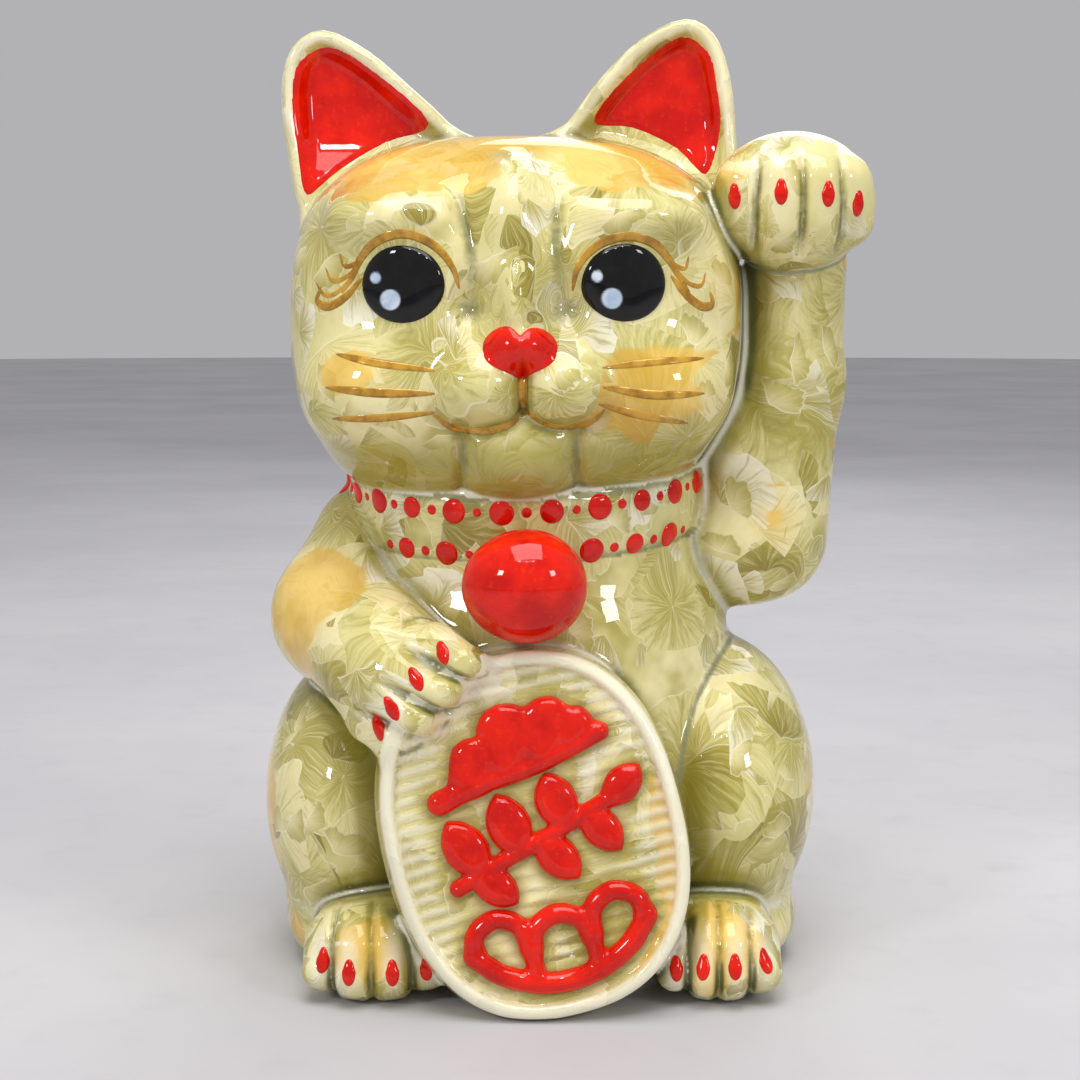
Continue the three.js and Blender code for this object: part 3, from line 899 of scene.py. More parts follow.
def fan_layer(t, spot, normal, cells, reach, half_angle, shift):
    """One scatter of crystal fans: mask, streaks, rim line, a random value per fan, distance along it."""
    moved = t.vmath("ADD", spot, shift)
    voro = t.tree.nodes.new("ShaderNodeTexVoronoi")
    voro.inputs["Scale"].default_value = cells
    t.put(voro.inputs["Vector"], moved)
    rnd = voro.outputs["Color"]
    away = t.vmath("SUBTRACT", moved, voro.outputs["Position"])
    away = t.vmath("SUBTRACT", away, t.vmath("SCALE", normal, t.vmath("DOT_PRODUCT", away, normal)))
    ref = t.vmath("SUBTRACT", rnd, (0.5, 0.5, 0.5))
    side = t.vmath("NORMALIZE", t.vmath("CROSS_PRODUCT", normal, ref))
    ahead = t.vmath("CROSS_PRODUCT", side, normal)
    u = t.vmath("DOT_PRODUCT", away, side)
    v = t.vmath("DOT_PRODUCT", away, ahead)
    angle = t.math("ARCTAN2", u, v)
    far = t.vmath("LENGTH", away)
    pick = t.node("SeparateColor", rnd, out=0)
    size = t.math("MULTIPLY_ADD", pick, reach * 0.5, reach * 0.7)
    scallop = t.noise(t.node("CombineXYZ", angle, 0.0, t.math("MULTIPLY", pick, 9)), 2.2, 1, 0.5)
    edge = t.math("MULTIPLY", size, t.math("MULTIPLY_ADD", scallop, 0.7, 0.62))
    inside = t.math("SUBTRACT", edge, far)
    wing = t.math("MULTIPLY", t.math("SUBTRACT", half_angle, t.math("ABSOLUTE", angle)), far)
    border = t.math("MINIMUM", inside, wing)
    mask = t.step(0.0, 0.00015, border)
    line = t.math("SUBTRACT", mask, t.step(0.0001, 0.0006, border))
    ray = [t.math("MULTIPLY", value, by) for value, by in ((angle, 5.0), (far, 45), (pick, 7))]
    ray = t.node("CombineXYZ", *ray)
    streak = t.noise(ray, 2.4, 4, 0.66)
    return mask, streak, line, pick, t.math("DIVIDE", far, edge)


def crystal_glaze(name):
    t = Tree(name)
    spot = t.node("TexCoord", out=3)
    normal = t.node("TexCoord", out=1)
    wobble = t.noise(spot, 70, 2, 0.5, out=1)
    wobble = t.vmath("SCALE", t.vmath("SUBTRACT", wobble, (0.5, 0.5, 0.5)), 0.004)
    spot_w = t.vmath("ADD", spot, wobble)
    cloud = t.noise(spot, 24, 3, 0.55)
    cloud2 = t.noise(t.vmath("ADD", spot, (0.3, 0.7, 0.1)), 40, 3, 0.6)
    grain = t.noise(spot, 420, 3, 0.6)
    amber = t.attribute("amber")
    # the next two attributes carry glaze that pools in hollows, creases and seams, together with painted
    # shade there
    deep = t.attribute("deep")
    pool = t.attribute("pool")
    crest = t.attribute("crest")

    cream = linear((244, 233, 178))
    pale = linear((222, 213, 146))
    green = linear((176, 165, 74))
    olive = linear((134, 119, 24))
    gold = linear((246, 204, 100))
    honey = linear((216, 166, 48))
    moss = linear((70, 76, 30))
    white = linear((250, 246, 224))

    base = t.mix(t.step(0.38, 0.6, cloud), cream, pale)
    base = t.mix(t.step(0.5, 0.68, cloud2, 0.0, 0.85), base, green)

    layers = (
        # cells a metre, reach in metres, half angle, shift, heart colour, rim colour, share left out
        (30, 0.0210, 3.3, (1.3, 0.2, 0.9), green, pale, 0.0),
        (34, 0.0185, 1.25, (0.1, 2.2, 0.4), olive, green, 0.42),
        (38, 0.0165, 1.50, (0.8, 4.2, 3.3), pale, cream, 0.40),
        (46, 0.0125, 1.10, (3.1, 0.6, 1.9), green, white, 0.45),
        (74, 0.0062, 1.30, (5.8, 1.1, 2.3), cream, green, 0.6),
    )
    colour = base
    relief = None
    facet = None
    for cells, reach, wide, shift, heart_colour, rim_colour, left_out in layers:
        mask, streak, line, pick, along = fan_layer(t, spot_w, normal, cells, reach, wide, shift)
        facet = facet or pick
        tone = t.mix(t.step(0.1, 1.0, along), heart_colour, rim_colour)
        tone = t.mix(t.step(0.46, 0.66, streak, 0.0, 0.75), tone, t.mix(0.45, rim_colour, cream))
        tone = t.mix(t.step(0.5, 0.32, streak, 0.0, 0.6), tone, t.mix(0.6, heart_colour, olive))
        some = t.math("MULTIPLY", t.step(left_out, left_out + 0.02, pick), 0.9)
        shown = t.math("MULTIPLY", mask, some)
        colour = t.mix(shown, colour, tone)
        colour = t.mix(t.math("MULTIPLY", line, t.math("MULTIPLY", some, 0.62)), colour, white)
        part = t.math("MULTIPLY", shown, streak)
        relief = part if relief is None else t.math("ADD", relief, part)

    warm_level = t.math("MULTIPLY_ADD", t.math("SUBTRACT", facet, 0.5), 0.6, amber)
    warm_level = t.math("ADD", warm_level, t.math("MULTIPLY", t.math("SUBTRACT", cloud2, 0.5), 1.3))
    warm = t.step(0.50, 0.58, warm_level)
    warm_colour = t.mix(t.step(0.4, 0.62, cloud2), gold, honey)
    colour = t.mix(t.math("MULTIPLY", warm, 0.72), colour, warm_colour)
    colour = t.mix(t.step(0.3, 1.0, amber, 0.0, 0.3), colour, gold)
    colour = t.mix(t.step(0.35, 0.75, grain, 0.0, 0.12), colour, green)

    # olive where glaze pools wide, and painted shade in broad hollows and under the jaw
    wide_pool_and_shade = t.step(0.12, 0.66, t.math("ADD", deep, t.math("MULTIPLY_ADD", cloud2, 0.2, -0.1)))
    colour = t.mix(t.math("MULTIPLY", wide_pool_and_shade, 0.72), colour, t.mix(cloud, olive, green))
    # moss where glaze pools in tight creases, and painted shade in those creases, folds, toe gaps and seams
    tight_pool_and_shade = t.step(0.17, 0.66, t.math("ADD", pool, t.math("MULTIPLY_ADD", grain, 0.3, -0.15)))
    tight_colour = t.mix(t.step(0.4, 0.6, cloud2), moss, linear((108, 112, 66)))
    colour = t.mix(t.math("MULTIPLY", tight_pool_and_shade, 0.86), colour, tight_colour)
    raised = t.step(0.12, 0.55, crest)
    colour = t.mix(t.math("MULTIPLY", raised, 0.8), colour, white)

    height = t.node("SeparateXYZ", spot, out=2)
    foot = t.step(0.0017, 0.0006, t.math("MULTIPLY_ADD", grain, 0.0008, height))
    colour = t.mix(foot, colour, linear((226, 220, 208)))
    t.set(Base_Color=colour)
    t.set(Roughness=t.math("ADD", t.step(0.3, 0.7, grain, 0.16, 0.3), t.math("MULTIPLY", foot, 0.4)))
    glossy_coat(t)
    peel = t.noise(spot, 150, 2, 0.5)
    t.set(Normal=t.bump(t.math("MULTIPLY_ADD", relief, 0.2, peel), 0.12, 0.0006))
    t.set(Coat_Normal=t.bump(t.noise(spot, 90, 2, 0.5), 0.16, 0.001))
    return t.material


def enamel(name, main, dark, light):
    """Thick glossy enamel, its red deeper or lighter at random, with a painted sheen that lightens it where
    its surface turns away from the view.
    """
    t = Tree(name)
    spot = t.node("TexCoord", out=3)
    cloud = t.noise(spot, 120, 3, 0.6)
    fine = t.noise(spot, 900, 2, 0.5)
    colour = t.mix(t.step(0.3, 0.7, cloud), linear(main), linear(dark))
    colour = t.mix(t.step(0.55, 0.8, fine, 0.0, 0.25), colour, linear(light))
    # painted sheen: the enamel is lightened where the view grazes it, a reflection painted into its colour
    rim = t.node("LayerWeight", 0.25, out=1)
    colour = t.mix(t.math("MULTIPLY", rim, 0.12), colour, linear(light))
    t.set(Base_Color=colour, Roughness=t.step(0.3, 0.7, cloud, 0.2, 0.3))
    glossy_coat(t, 0.8)
    t.set(Normal=t.bump(t.noise(spot, 160, 2, 0.5), 0.06, 0.0006))
    return t.material


def gold_line():
    t = Tree("gold_line")
    spot = t.node("TexCoord", out=3)
    cloud = t.noise(spot, 260, 3, 0.6)
    colour = t.mix(t.step(0.3, 0.7, cloud), linear((214, 164, 58)), linear((156, 110, 26)))
    t.set(Base_Color=colour, Roughness=t.step(0.3, 0.7, cloud, 0.25, 0.42), Metallic=0.12)
    glossy_coat(t)
    t.set(Normal=t.bump(cloud, 0.05, 0.0003))
    return t.material


def eye_enamel():
    t = Tree("black_enamel")
    spot = t.node("TexCoord", out=3)
    cloud = t.noise(spot, 300, 3, 0.6)
    colour = t.mix(t.step(0.3, 0.75, cloud), linear((5, 5, 6)), linear((16, 16, 18)))
    # painted highlights: two glints of reflected light, pale blue-white, are laid into the black enamel as
    # colour
    glint = t.attribute("glint")
    painted_glint_colour = t.mix(t.step(0.3, 0.7, cloud), linear((214, 224, 236)), linear((168, 190, 214)))
    colour = t.mix(glint, colour, painted_glint_colour)
    t.set(Base_Color=colour, Roughness=t.step(0.3, 0.7, cloud, 0.2, 0.3))
    glossy_coat(t, 0.8)
    t.set(Normal=t.bump(cloud, 0.04, 0.0004))
    return t.material


def floor_material():
    t = Tree("pale_floor")
    spot = t.node("TexCoord", out=3)
    cloud = t.noise(spot, 3, 4, 0.6)
    speck = t.noise(spot, 60, 3, 0.6)
    colour = t.mix(t.step(0.3, 0.7, cloud), linear((205, 204, 207)), linear((192, 191, 196)))
    colour = t.mix(t.step(0.5, 0.8, speck, 0.0, 0.3), colour, linear((182, 181, 187)))
    t.set(Base_Color=colour, Roughness=0.62)
    t.set(Normal=t.bump(speck, 0.08, 0.001))
    return t.material


GLAZE = crystal_glaze("crystal_glaze")
RED = enamel("red_enamel", (232, 26, 2), (198, 8, 0), (246, 84, 20))
BLACK = eye_enamel()
GOLD = gold_line()


# ---- ornaments of the oval plate
CLOUD = [
    # a cloud on a long foot: each stroke is (points, width at its start, width at its end)
    ([(-20, 12.5), (-10, 14.8), (4, 16.2), (20, 20)], 6.0, 5.0),
    ([(-11.5, 17), (-10, 20)], 10.5, 11.5),
    ([(-3, 19), (-1, 24.5)], 10, 14.5),
    ([(6, 20), (8.8, 24.8)], 10, 12.5),
    ([(13, 20.5), (15, 22.8)], 7, 9),
]
SPRIG = [([(-20.5, -7.8), (-10, -4.4), (2, -1), (11, 1.8), (19, 4.5)], 4.2, 4.2)]
LEAF = [
    # middle, half length, half width, direction in degrees
    (-16.5, 0.6, 7.8, 5.0, 112),
    (-5.5, 3.6, 7.8, 5.0, 100),
    (6.5, 6.4, 7.0, 4.8, 98),
    (22.3, 6.6, 6.0, 3.9, 35),
    (-12, -9.2, 6.6, 4.2, -50),
    (3.8, -6, 7.0, 4.4, -58),
    (15.2, -2, 6.8, 4.2, -60),
]
SCALLOP = 4.9
WAVE = [
    ([(-20.5, -23.5), (-19, -19), (-14, -16.7), (-9, -19.3), (-7.5, -24.5)], SCALLOP, SCALLOP),
    ([(-7, -25.5), (-5.2, -21), (0, -18.8), (5.2, -21), (7, -25.5)], SCALLOP, SCALLOP),
    ([(7.5, -24.5), (9, -19.3), (14, -16.7), (19, -19), (20.5, -23.5)], SCALLOP, SCALLOP),
    (
        [(-20.3, -24.5), (-15.5, -29.5), (-8, -33.2), (0, -34.5), (8, -33.2), (15.5, -29.5), (20.3, -24.5)],
        5.2, 5.2,
    ),
    ([(-7.2, -25), (-7.4, -33)], 4.4, 4.4),
    ([(7.2, -25), (7.4, -33)], 4.4, 4.4),
]


def stroke_field(x, z, strokes, leaves=()):
    """Signed distance to a motif in the plate's own X and Z."""
    best = np.full(len(x), 1e3, F)
    q = np.stack([x, z * 0, z], 1).astype(F)
    for points, wide_a, wide_b in strokes:
        curve = spline(points, 6)
        last = len(curve) - 1
        one = np.full(len(x), 1e3, F)
        for i in range(last):
            a, b = curve[i], curve[i + 1]
            ra, rb = ((wide_a + (wide_b - wide_a) * (i + s) / last) / 2 for s in (0, 1))
            one = np.minimum(one, cone(q, (a[0], 0, a[1]), ra, (b[0], 0, b[1]), rb))
        best = smin(best, one, 1.6)
    for cx, cz, long, wide, turn in leaves:
        c, s = math.cos(math.radians(turn)), math.sin(math.radians(turn))
        u = (x - cx) * c + (z - cz) * s
        v = -(x - cx) * s + (z - cz) * c
        r = (long * long + wide * wide) / (2 * wide)
        lens = np.maximum(np.hypot(u, v - (r - wide)), np.hypot(u, v + (r - wide))) - r
        best = smin(best, lens.astype(F) - 0.3, 1.0)
    return best


# ---- the glazed pieces
AMBER = (
    # the places where the glaze ran thin and warm: middle and radii
    ((-36, -30, 201), (26, 22, 9)), ((28, -30, 200), (30, 22, 8)), ((-3, -25, 207), (24, 24, 6)),
    ((34, -44, 145), (16, 18, 11)), ((-41, -46, 150), (13, 18, 8)), ((44, -30, 170), (9, 14, 12)),
    ((-26, -44, 196), (24, 18, 8)), ((20, -44, 198), (14, 16, 6)),
    ((-54, -34, 92), (19, 22, 18)), ((-52, -36, 80), (10, 14, 10)), ((62, -20, 112), (8, 12, 8)),
    ((-66, -10, 40), (9, 26, 22)), ((66, -16, 46), (9, 18, 16)), ((46, -60, 14), (12, 12, 12)),
    ((-37, -60, 14), (14, 12, 12)), ((84, -14, 184), (8, 16, 14)), ((56, -16, 196), (8, 12, 9)),
    ((20, 50, 116), (24, 22, 14)), ((-24, 48, 182), (24, 22, 14)), ((30, 44, 60), (18, 22, 24)),
    ((50, 20, 170), (16, 20, 20)),
)


def amber_share(p):
    """How warm the glaze is."""
    return np.maximum.reduce([bump(p, c, r) for c, r in AMBER])


def plate_tints(verts, values):
    """Cream along the rim of the plate, olive glaze lying in its field and round the ornaments, with
    painted shade in the same valleys and round the ornaments.
    """
    x, y, z = plate_local(verts.astype(F))
    outer = plate_outline(x, z, PLATE_A, PLATE_B)
    on = np.flatnonzero((outer < 1.5) & (np.abs(y) < 4))
    x, z = x[on], z[on]
    inner = -plate_outline(x, z, PLATE_A - PLATE_RIM, PLATE_B - PLATE_RIM)
    rim = 1 - smooth(-0.6, 0.7, inner)
    motif = np.minimum(stroke_field(x, z, CLOUD), stroke_field(x, z, SPRIG, LEAF))
    motif = np.minimum(motif, stroke_field(x, z, WAVE))
    beside = 1 - smooth(0.0, 4.4, motif)
    field = 1 - rim
    valley = 0.5 + 0.5 * np.cos(ridge_phase(x, z))
    ridge = (0.2 + 0.2 * (1 - valley)) * field * (1 - beside)
    values["crest"][on] = np.maximum.reduce([values["crest"][on], 0.5 * rim, ridge])
    values["deep"][on] = np.maximum(0.2 * values["deep"][on] + 0.18 * valley, 0.5 * beside) * field
    values["pool"][on] = np.maximum(0.5 * values["pool"][on] * field, 0.3 * beside * beside * field)
    values["amber"][on] = np.maximum(values["amber"][on], 0.3 * field * (1 - smooth(1, 8, inner)))


def collar_tints(p, values):
    """The band is glazed like the body, with glaze gathered along its two edges and painted shade laid
    along them too.
    """
    on = np.flatnonzero(collar_form(p) < 1.0)
    z = collar_local(p[on])[2]
    edge = smooth(BAND_HALF - 2.6, BAND_HALF + 0.4, np.abs(z))
    values["crest"][on] *= 0.35
    values["pool"][on] = np.maximum(0.5 * values["pool"][on], 0.5 * edge)


def pools_and_shade(p):
    """Where the glaze gathered in the folds of the face, in the hollows beside the nose and in the gaps
    between the toes, with painted shade laid into the same places.
    """
    out = np.zeros(len(p), F)
    face = near(p, *FACE)
    q = p[face]
    for points, _, width in FOLDS:
        out[face] = np.maximum(out[face], 0.52 * crease(q, points, width * 0.8))
    # painted shade, with glaze that pools there, in the hollows beside the bridge of the nose
    for cx, cz in HOLLOWS:
        out = np.maximum(out, 0.5 * bump(p, (cx, -50, cz - 1), (5.2, 14, 4.0)))
    low = [[(x, 24), (x, 12), (x, -8)] for _, gap_x in HIND_X.values() for x in gap_x]
    gaps = [(gap, -20) for gap in RAISED_GAPS]
    gaps += [(gap, -50) for gap in RESTING_GAPS + low]
    for gap, behind in gaps:
        front = p[:, 1] < behind
        out[front] = np.maximum(out[front], 0.5 * crease(p[front], gap, 1.0))
    return out


def cream_toes(p):
    """Where the glaze ran thin and pale over the toes."""
    out = np.zeros(len(p), F)
    for knuckle, tip in RAISED_TOES + RESTING_TOES:
        middle = (np.array(knuckle) + tip) / 2
        out = np.maximum(out, 0.42 * bump(p, middle, (4.4, 9, 8.5)))
    for toe_x, _ in HIND_X.values():
        for x in toe_x:
            out = np.maximum(out, 0.42 * bump(p, (x, -60, 11), (3.8, 12, 11)))
    return out


POOL_REACH = 2.4  # how far out of the skin a tight crease is felt, mm
DEEP_REACH = 7  # and a wide one
CREST_REACH = 2.2  # how far into the skin an edge is felt, mm
SEAM_WIDTH = 1.2
MARGIN = 6  # room round the boxes of the CAD nodes, mm


def glaze_values(verts, normals):
    """How the glaze lies at each vertex: gathered tight or wide, thin over a crest, or amber. Where it
    gathers, shade is painted in as well: in creases, hollows, seams and under the jaw.
    """
    p = verts.astype(F)
    # the next two values measure how enclosed each point is, as occlusion does: glaze that pools there, and
    # painted shade there
    pool = np.clip(1 - skin(verts + normals * POOL_REACH) / POOL_REACH, 0, 1)
    deep = np.clip(1 - skin(verts + normals * DEEP_REACH) / DEEP_REACH, 0, 1)
    crest = np.clip(1 + skin(verts - normals * CREST_REACH) / CREST_REACH, 0, 1)
    values = {"pool": pool, "deep": deep, "crest": crest, "amber": amber_share(p)}
    plate_tints(verts, values)
    values["crest"] = np.maximum(crest, cream_toes(p))
    each = owners(verts)
    # painted shade: the lower jaw is darkened towards its underside, where shade falls
    jaw = smooth(142, 124, verts[:, 2]) * (each[NAMES.index("head_casting")] < 0.6)
    values["deep"] = np.maximum(deep, 0.8 * jaw)
    first, second = np.partition(each, 1, axis=0)[:2]
    # the seams between pieces take glaze that pools there and painted shade
    seam = np.exp(-np.square((second - first) / SEAM_WIDTH)) * smooth(0.03, 0.16, deep)
    values["pool"] = np.maximum.reduce([pool, pools_and_shade(p), 0.62 * seam])
    collar_tints(p, values)
    return values


def make_skin():
    boxes = [node_box(name) for name in NAMES]
    lo = np.min([b[0] for b in boxes], 0) - MARGIN
    hi = np.max([b[1] for b in boxes], 0) + MARGIN
    verts, quads = surface_net(skin, lo, hi, STEP)
    verts = settle(skin, verts)
    normals = gradient(skin, verts)
    values = glaze_values(verts, normals)
    label = owners(verts[quads].mean(1)).argmin(0)
    label = tidy_labels(quads, label, len(FORMS))
    for i, (name, _, _, wall) in enumerate(FORMS):
        shell(name, verts, normals, quads[label == i], wall, values)


make_skin()


# ---- ears, eyes, nose, claws, bell
def ear_panel(name):
    outline = spline(ENAMEL[name], 4, closed=True)
    c = centre(name)

    def field_chunk(p):
        x, y, z = p.T
        d = polygon(outline, x, z)
        raised = ear_form(p, name) - F(0.55) * smooth(0, 2.2, -d)
        return smax(smax(d, raised, 0.7), y - (ear_plane(z) + 3.5), 0.5)

    def field(p):
        return np.concatenate(in_chunks(field_chunk, p))

    box_lo = (c[0] - 32, -6, 184)
    box_hi = (c[0] + 32, 20, 244)
    verts, quads = surface_net(field, box_lo, box_hi, max(FINE, 0.5))
    verts = settle(field, verts, 1)
    normals = gradient(field, verts, 0.2)
    node = name.replace("ear_", "ear_enamel_")
    piece("red_enamel", [node], node + "_panel", verts, [quads], normals, material=RED)


ear_panel("ear_right")
ear_panel("ear_left")


def even_angles(spokes):
    return np.arange(spokes) * 2 * math.pi / spokes


EYE_R = (10.1, 9.0)


def make_eyes():
    a = even_angles(96)
    outline = 1 / np.sqrt(np.square(np.cos(a) / EYE_R[0]) + np.square(np.sin(a) / EYE_R[1]))
    at = strike([(x, AHEAD, z) for x, z in EYES.values()])
    n = gradient(skin, at, 4.0)
    for i, (node, (cx, cz)) in enumerate(EYES.items()):
        verts, faces = drops(at[i : i + 1], [outline], 2.4, 0, n[i], 40, 1.2, 2.2)[0]
        # the glint marks two painted highlights on each eye, reflected light painted into its colour
        glint = np.zeros(len(verts))
        for dx, dz, r in ((-6.4, 1.5, 1.25), (-2.9, -3.6, 2.35)):
            far = np.hypot(verts[:, 0] - cx - dx, verts[:, 2] - cz - dz)
            glint = np.maximum(glint, 1 - smooth(r - 0.22, r + 0.22, far))
        piece("black_enamel", [node], node + "_drop", verts, faces, values={"glint": glint}, material=BLACK)


make_eyes()


def heart(angle):
    """The outline of a plump heart about its middle, point down."""
    x, z = np.cos(angle), np.sin(angle)
    dip = 0.30 * np.exp(-np.square((angle - math.pi / 2) / 0.30))
    lobes = np.where(z > 0, 1 + 0.16 * np.abs(np.sin(2 * angle)) - dip, 1)
    tip = 1 + 0.10 * np.exp(-np.square((angle - 1.5 * math.pi) / 0.28))
    tip = tip - 0.14 * np.square(np.sin(2 * angle)) * (z < 0)
    return np.hypot(x * 8.5, z * 4.9) * lobes * tip


NOSE = centre("nose")
nose_at = strike([(NOSE[0], AHEAD, NOSE[2])])
nose_drop = drops(nose_at, [heart(even_angles(72))], 1.1, 0, (0, -0.96, 0.28), 16, 1.2, 2.6)
piece("red_enamel", ["nose"], "nose_heart", *nose_drop[0], material=RED)


def tear(long, wide):
    """An oval with a slightly pointed top."""

    def outline(angle):
        c, z = np.cos(angle) / wide, np.sin(angle) / long
        oval = 1 / np.sqrt(c * c + z * z)
        return oval * np.where(z > 0, 1 - 0.13 * np.square(np.sin(2 * angle)), 1)

    return outline


CLAWS = {
    # foot: the slant of its four claws, radians
    "raised": (0.05, 0.02, -0.02, -0.06),
    "resting": (0.62, 0.6, 0.55, 0.5),
    "hind_right": (0, 0, 0, 0),
    "hind_left": (0, 0, 0, 0),
}


def make_claws():
    nodes = [f"claw_{foot}_{i + 1}" for foot in CLAWS for i in range(4)]
    slant = np.array([lean for leans in CLAWS.values() for lean in leans])
    at = np.array([centre(node) for node in nodes])
    at = strike(at - [0, 20, 0])
    outline = tear(3.2, 1.65)(even_angles(32))
    made = drops(at, np.tile(outline, (len(nodes), 1)), 0.6, slant, sunk=0.8)
    for node, one in zip(nodes, made):
        piece("red_enamel", [node], node + "_drop", *one, material=RED)


make_claws()


def make_bell():
    rings, spokes = 48, 96
    i = np.linspace(0, math.pi, rings + 2)[1:-1]
    j = np.arange(spokes) * 2 * math.pi / spokes
    phi, theta = np.meshgrid(i, j, indexing="ij")
    squash = 1 - 0.008 * np.cos(3 * theta) * np.sin(phi) ** 2
    x = np.sin(phi) * np.cos(theta) * squash
    z = np.sin(phi) * np.sin(theta) * squash
    y = -np.cos(phi)
    verts = np.stack([x, y, z], -1).reshape(-1, 3) * BELL_R + BELL
    ends = np.array([[0, -1, 0], [0, 1, 0]]) * BELL_R + BELL
    verts = np.concatenate([verts, ends])
    quads, top, bottom = ring_faces(rings, spokes)
    faces = [quads[:, ::-1], top[:, ::-1], bottom[:, ::-1]]
    piece("red_enamel", ["bell"], "bell_ball", verts, faces, material=RED)


make_bell()


# ---- beads painted along the collar
BEAD_OUT = 1.6  # beads start this far out of the middle of the band, mm


def collar_point(angle, side):
    """A point near the upper (side 1) or lower (side -1) edge of the band, and the way out from it."""
    out = np.array([math.sin(angle) / COLLAR_RX, -math.cos(angle) / COLLAR_RY, 0])
    high = BAND_HALF - 3.0 if side > 0 else 1.9 - BAND_HALF
    x, y = (COLLAR_RX + BEAD_OUT) * math.sin(angle), -(COLLAR_RY + BEAD_OUT) * math.cos(angle)
    return COLLAR_M @ [x, y, high] + COLLAR_AT, COLLAR_M @ (out / np.linalg.norm(out))


BEAD_ROUND = 24  # large beads in a row
BEADS = (
    # corners of the outline, place after each large bead as a share of their spacing, radius
    (28, 0, 2.95),
    (14, 0.5, 1.2),
)
BEAD_SHIFT = {1: 0.5, -1: 0.3}  # where each row starts, as a share of the spacing


def make_beads():
    """Two rows of beads; those that would land on the head or on an arm are left out."""
    step = 2 * math.pi / BEAD_ROUND
    parts = []
    for spokes, place, radius in BEADS:
        spots = []
        for side, shift in BEAD_SHIFT.items():
            for k in range(BEAD_ROUND):
                at, out = collar_point((k + shift + place) * step, side)
                spots.append((*at, *out, radius * (1 + 0.1 * math.sin(k * 2.3 + place * 9))))
        spots = np.array(spots)
        at, out, size = spots[:, :3], spots[:, 3:6], spots[:, 6]
        on_band = press(at, out)
        aside = np.cross([0.0, 0, 1], out) * size[:, None]
        proud = np.minimum(skin(on_band + aside), skin(on_band - aside))
        free = (np.linalg.norm(on_band - at, axis=1) < 1.3) & (proud > -0.7)
        at, out, size = on_band[free], out[free], size[free]
        parts += drops(at, np.tile(size[:, None], (1, spokes)), 0.2 * size + 0.1, 0, out, 6, 0.5)
    piece("red_enamel", None, "collar_beads", *join_parts(parts), material=RED)


make_beads()


# ---- painted lines of the face
LINES = {
    "lid_line_right": [
        ([(-15.8, 169.4), (-17.2, 174.1), (-20.6, 178.5), (-25.2, 181.2), (-29.7, 181.9), (-35, 180.2),
          (-38.8, 176.6), (-41.2, 171.9), (-43.6, 168.4)], 2.3),
        ([(-38.6, 172.0), (-42.6, 167.6), (-47, 165.3), (-50, 166.6), (-49, 169.8)], 2.2),
        ([(-36, 178.8), (-39.6, 175.6), (-42.8, 174.7), (-44.2, 177.8)], 1.15),
        ([(-38.4, 176), (-42.6, 172.1), (-46, 171.4), (-47.8, 174.4)], 1.15),
        ([(-40.4, 172.8), (-44.6, 168.7), (-48, 168), (-50.4, 171)], 1.15),
    ],
    "lid_line_left": [
        ([(10.6, 168.9), (11.6, 173.8), (14.6, 177.9), (19.2, 180.6), (24.4, 181.3), (29.6, 179.7),
          (33, 176.4), (35.8, 172.0), (38.2, 168.6)], 2.3),
        ([(33.6, 172.6), (37, 168.4), (41, 165.4), (44, 165.8), (43.4, 168.8)], 2.2),
        ([(30.6, 178.8), (34.2, 175.2), (37, 174.2), (38, 177)], 1.15),
        ([(33.4, 175.8), (37.6, 171), (41, 170.2), (42.2, 173.2)], 1.15),
    ],
    "whisker_right_1": [([(-44.8, 154.2), (-34.8, 152.2), (-21.4, 150.5)], 2.1)],
    "whisker_right_2": [([(-47.4, 146.4), (-34.8, 145.4), (-21.4, 145.2)], 2.3)],
    "whisker_right_3": [([(-45.9, 139.0), (-34.9, 139.4), (-21.4, 140.7)], 2.1)],
    "whisker_left_1": [([(17.4, 151.2), (28.6, 152.4), (41.6, 153.2)], 2.0)],
    "whisker_left_2": [([(17.4, 146.8), (29, 144.9), (41.6, 145.0)], 2.2)],
    "whisker_left_3": [([(16.6, 142.8), (26.0, 140.2), (37.8, 138.0)], 2.1)],
    "mouth_line": [
        ([(-1.0, 150.8), (-0.9, 146.6), (-0.7, 141.2)], 2.1),
        ([(-0.7, 141.8), (-3.2, 138.6), (-8.2, 136.7), (-14.7, 136.6), (-18.6, 137.6), (-22, 140.2)], 1.9),
        ([(-0.7, 141.8), (2.4, 139), (7.4, 137.4), (12.6, 137.7), (15.6, 139), (18.2, 141.6)], 1.9),
    ],
}
painted = lines([stroke for strokes in LINES.values() for stroke in strokes])
for line, strokes in LINES.items():
    piece(None, None, line, *join_parts([painted.pop(0) for _ in strokes]), material=GOLD)


def ornament(name, node, strokes, leaves=()):
    def local_chunk(p):
        x, y, z = p.T
        d = stroke_field(x, z, strokes, leaves)
        puff = 2.6 * np.sqrt(1 - np.square(1 - np.clip(-d / 3.4, 0, 1)))
        front = PLATE_SINK - puff - 0.15
        return smax(smax(d, (front - y) * 0.7, 0.8), y - (PLATE_SINK + 1.5), 0.4)

    def local_field(p):
        return np.concatenate(in_chunks(local_chunk, p))

    verts, quads = surface_net(local_field, (-34, -4, -44), (34, 4, 44), max(FINE, 0.42))
    verts = settle(local_field, verts, 1, 0.3)
    normals = gradient(local_field, verts, 0.25)
    normals = normals @ PLATE_M.T.astype(F)
    piece("red_enamel", [node], name, plate_world(verts), [quads], normals, material=RED)


ornament("cloud_enamel", "enamel_cloud", CLOUD)
ornament("sprig_enamel", "enamel_sprig", SPRIG, LEAF)
ornament("wave_enamel", "enamel_wave", WAVE)


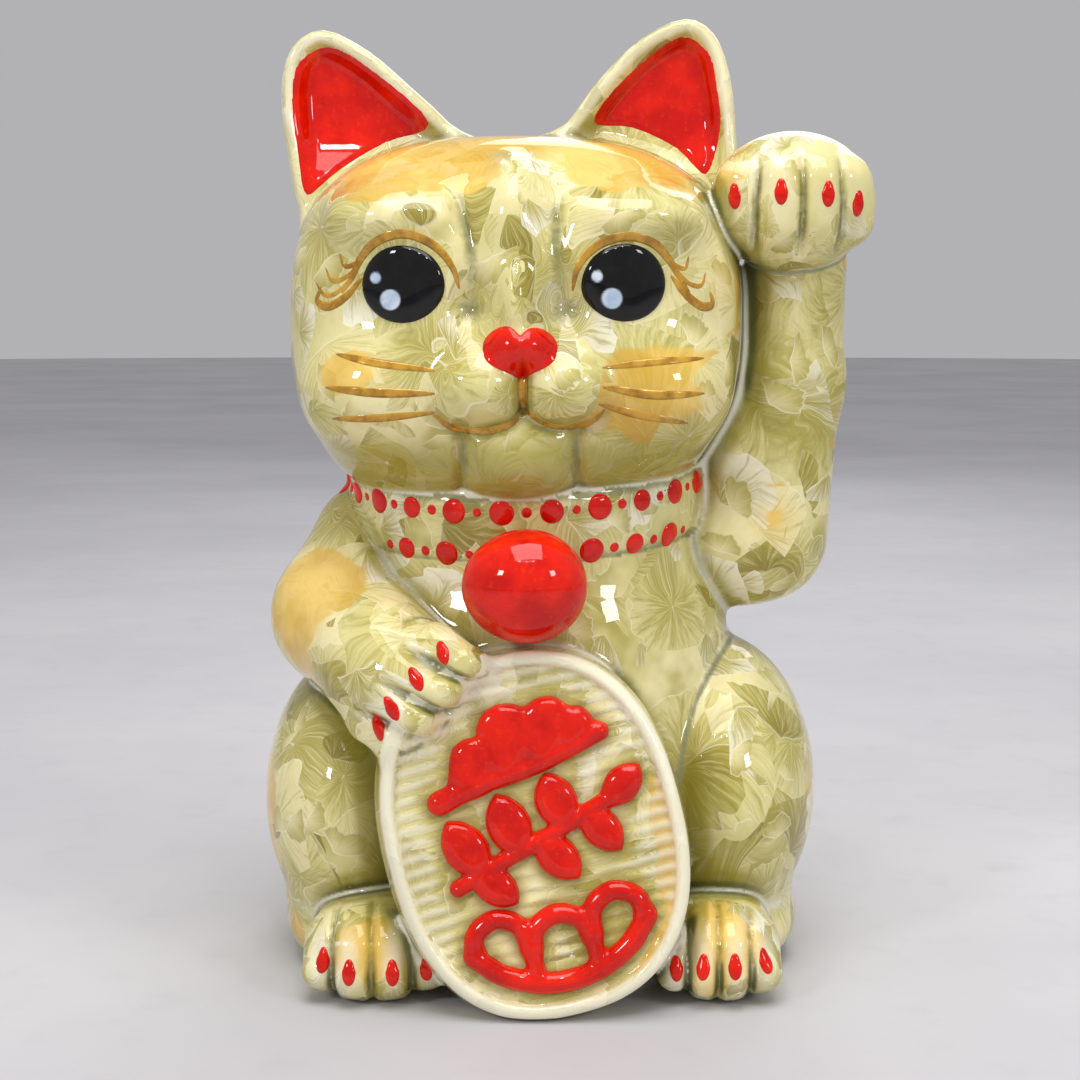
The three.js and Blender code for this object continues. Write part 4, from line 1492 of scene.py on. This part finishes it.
# ---- floor, light and camera
def make_floor():
    rings, spokes = 24, 96
    radius = np.concatenate([[0.05], np.geomspace(0.12, 6.0, rings - 1)]) / MM
    angle = even_angles(spokes)
    x = (radius[:, None] * np.cos(angle)).ravel()
    y = (radius[:, None] * np.sin(angle)).ravel()
    height = BASE_Z - 0.05
    verts = np.stack([x, y, np.full(len(x), height)], 1)
    verts = np.concatenate([verts, [[0, 0, height]]])
    quads, middle, _ = ring_faces(rings, spokes)
    obj = build("floor", verts, [quads, middle], material=floor_material())


make_floor()


AIM = (0, 0, 0.12)


def area_light(name, at, size, power, colour=(1, 1, 1)):
    """A square lamp that looks at the middle of the figurine."""
    data = bpy.data.lights.new(name, "AREA")
    data.shape = "SQUARE"
    data.size = size
    data.energy = power
    data.color = colour
    obj = bpy.data.objects.new(name, data)
    bpy.context.scene.collection.objects.link(obj)
    obj.location = at
    obj.rotation_mode = "QUATERNION"
    obj.rotation_quaternion = (Vector(AIM) - Vector(at)).to_track_quat("-Z", "Y")


area_light("overhead", (0.05, -0.30, 1.20), 0.8, 9.5, (1, 0.985, 0.96))
area_light("front_left", (-0.9, -1.0, 0.8), 0.22, 4.4, (1, 0.99, 0.97))
area_light("front_right", (0.95, -0.85, 0.7), 0.22, 2.6, (0.97, 0.985, 1))
for at in ((-0.16, -0.70, 1.0), (0.04, -0.74, 1.0), (0.22, -0.70, 1.0)):
    area_light("spot", at, 0.035, 0.35)
area_light("back", (0.3, 1.1, 0.9), 0.7, 3)

world = bpy.data.worlds.new("studio")
bpy.context.scene.world = world
world.use_nodes = True
background = world.node_tree.nodes["Background"]
background.inputs["Color"].default_value = (0.80, 0.79, 0.81, 1)
background.inputs["Strength"].default_value = 0.56

LENS = 64
SENSOR = 36
CAMERA_AT = (0.003, -0.5, 0.165)
CAMERA_DOWN = 6.9  # degrees below level

cam_data = bpy.data.cameras.new("camera")
cam_data.lens = LENS
cam_data.sensor_width = SENSOR
camera = bpy.data.objects.new("camera", cam_data)
bpy.context.scene.collection.objects.link(camera)
camera.location = CAMERA_AT
camera.rotation_mode = "XYZ"
camera.rotation_euler = (math.radians(90 - CAMERA_DOWN), 0, 0)
bpy.context.scene.camera = camera
bpy.context.scene.view_settings.view_transform = "Standard"
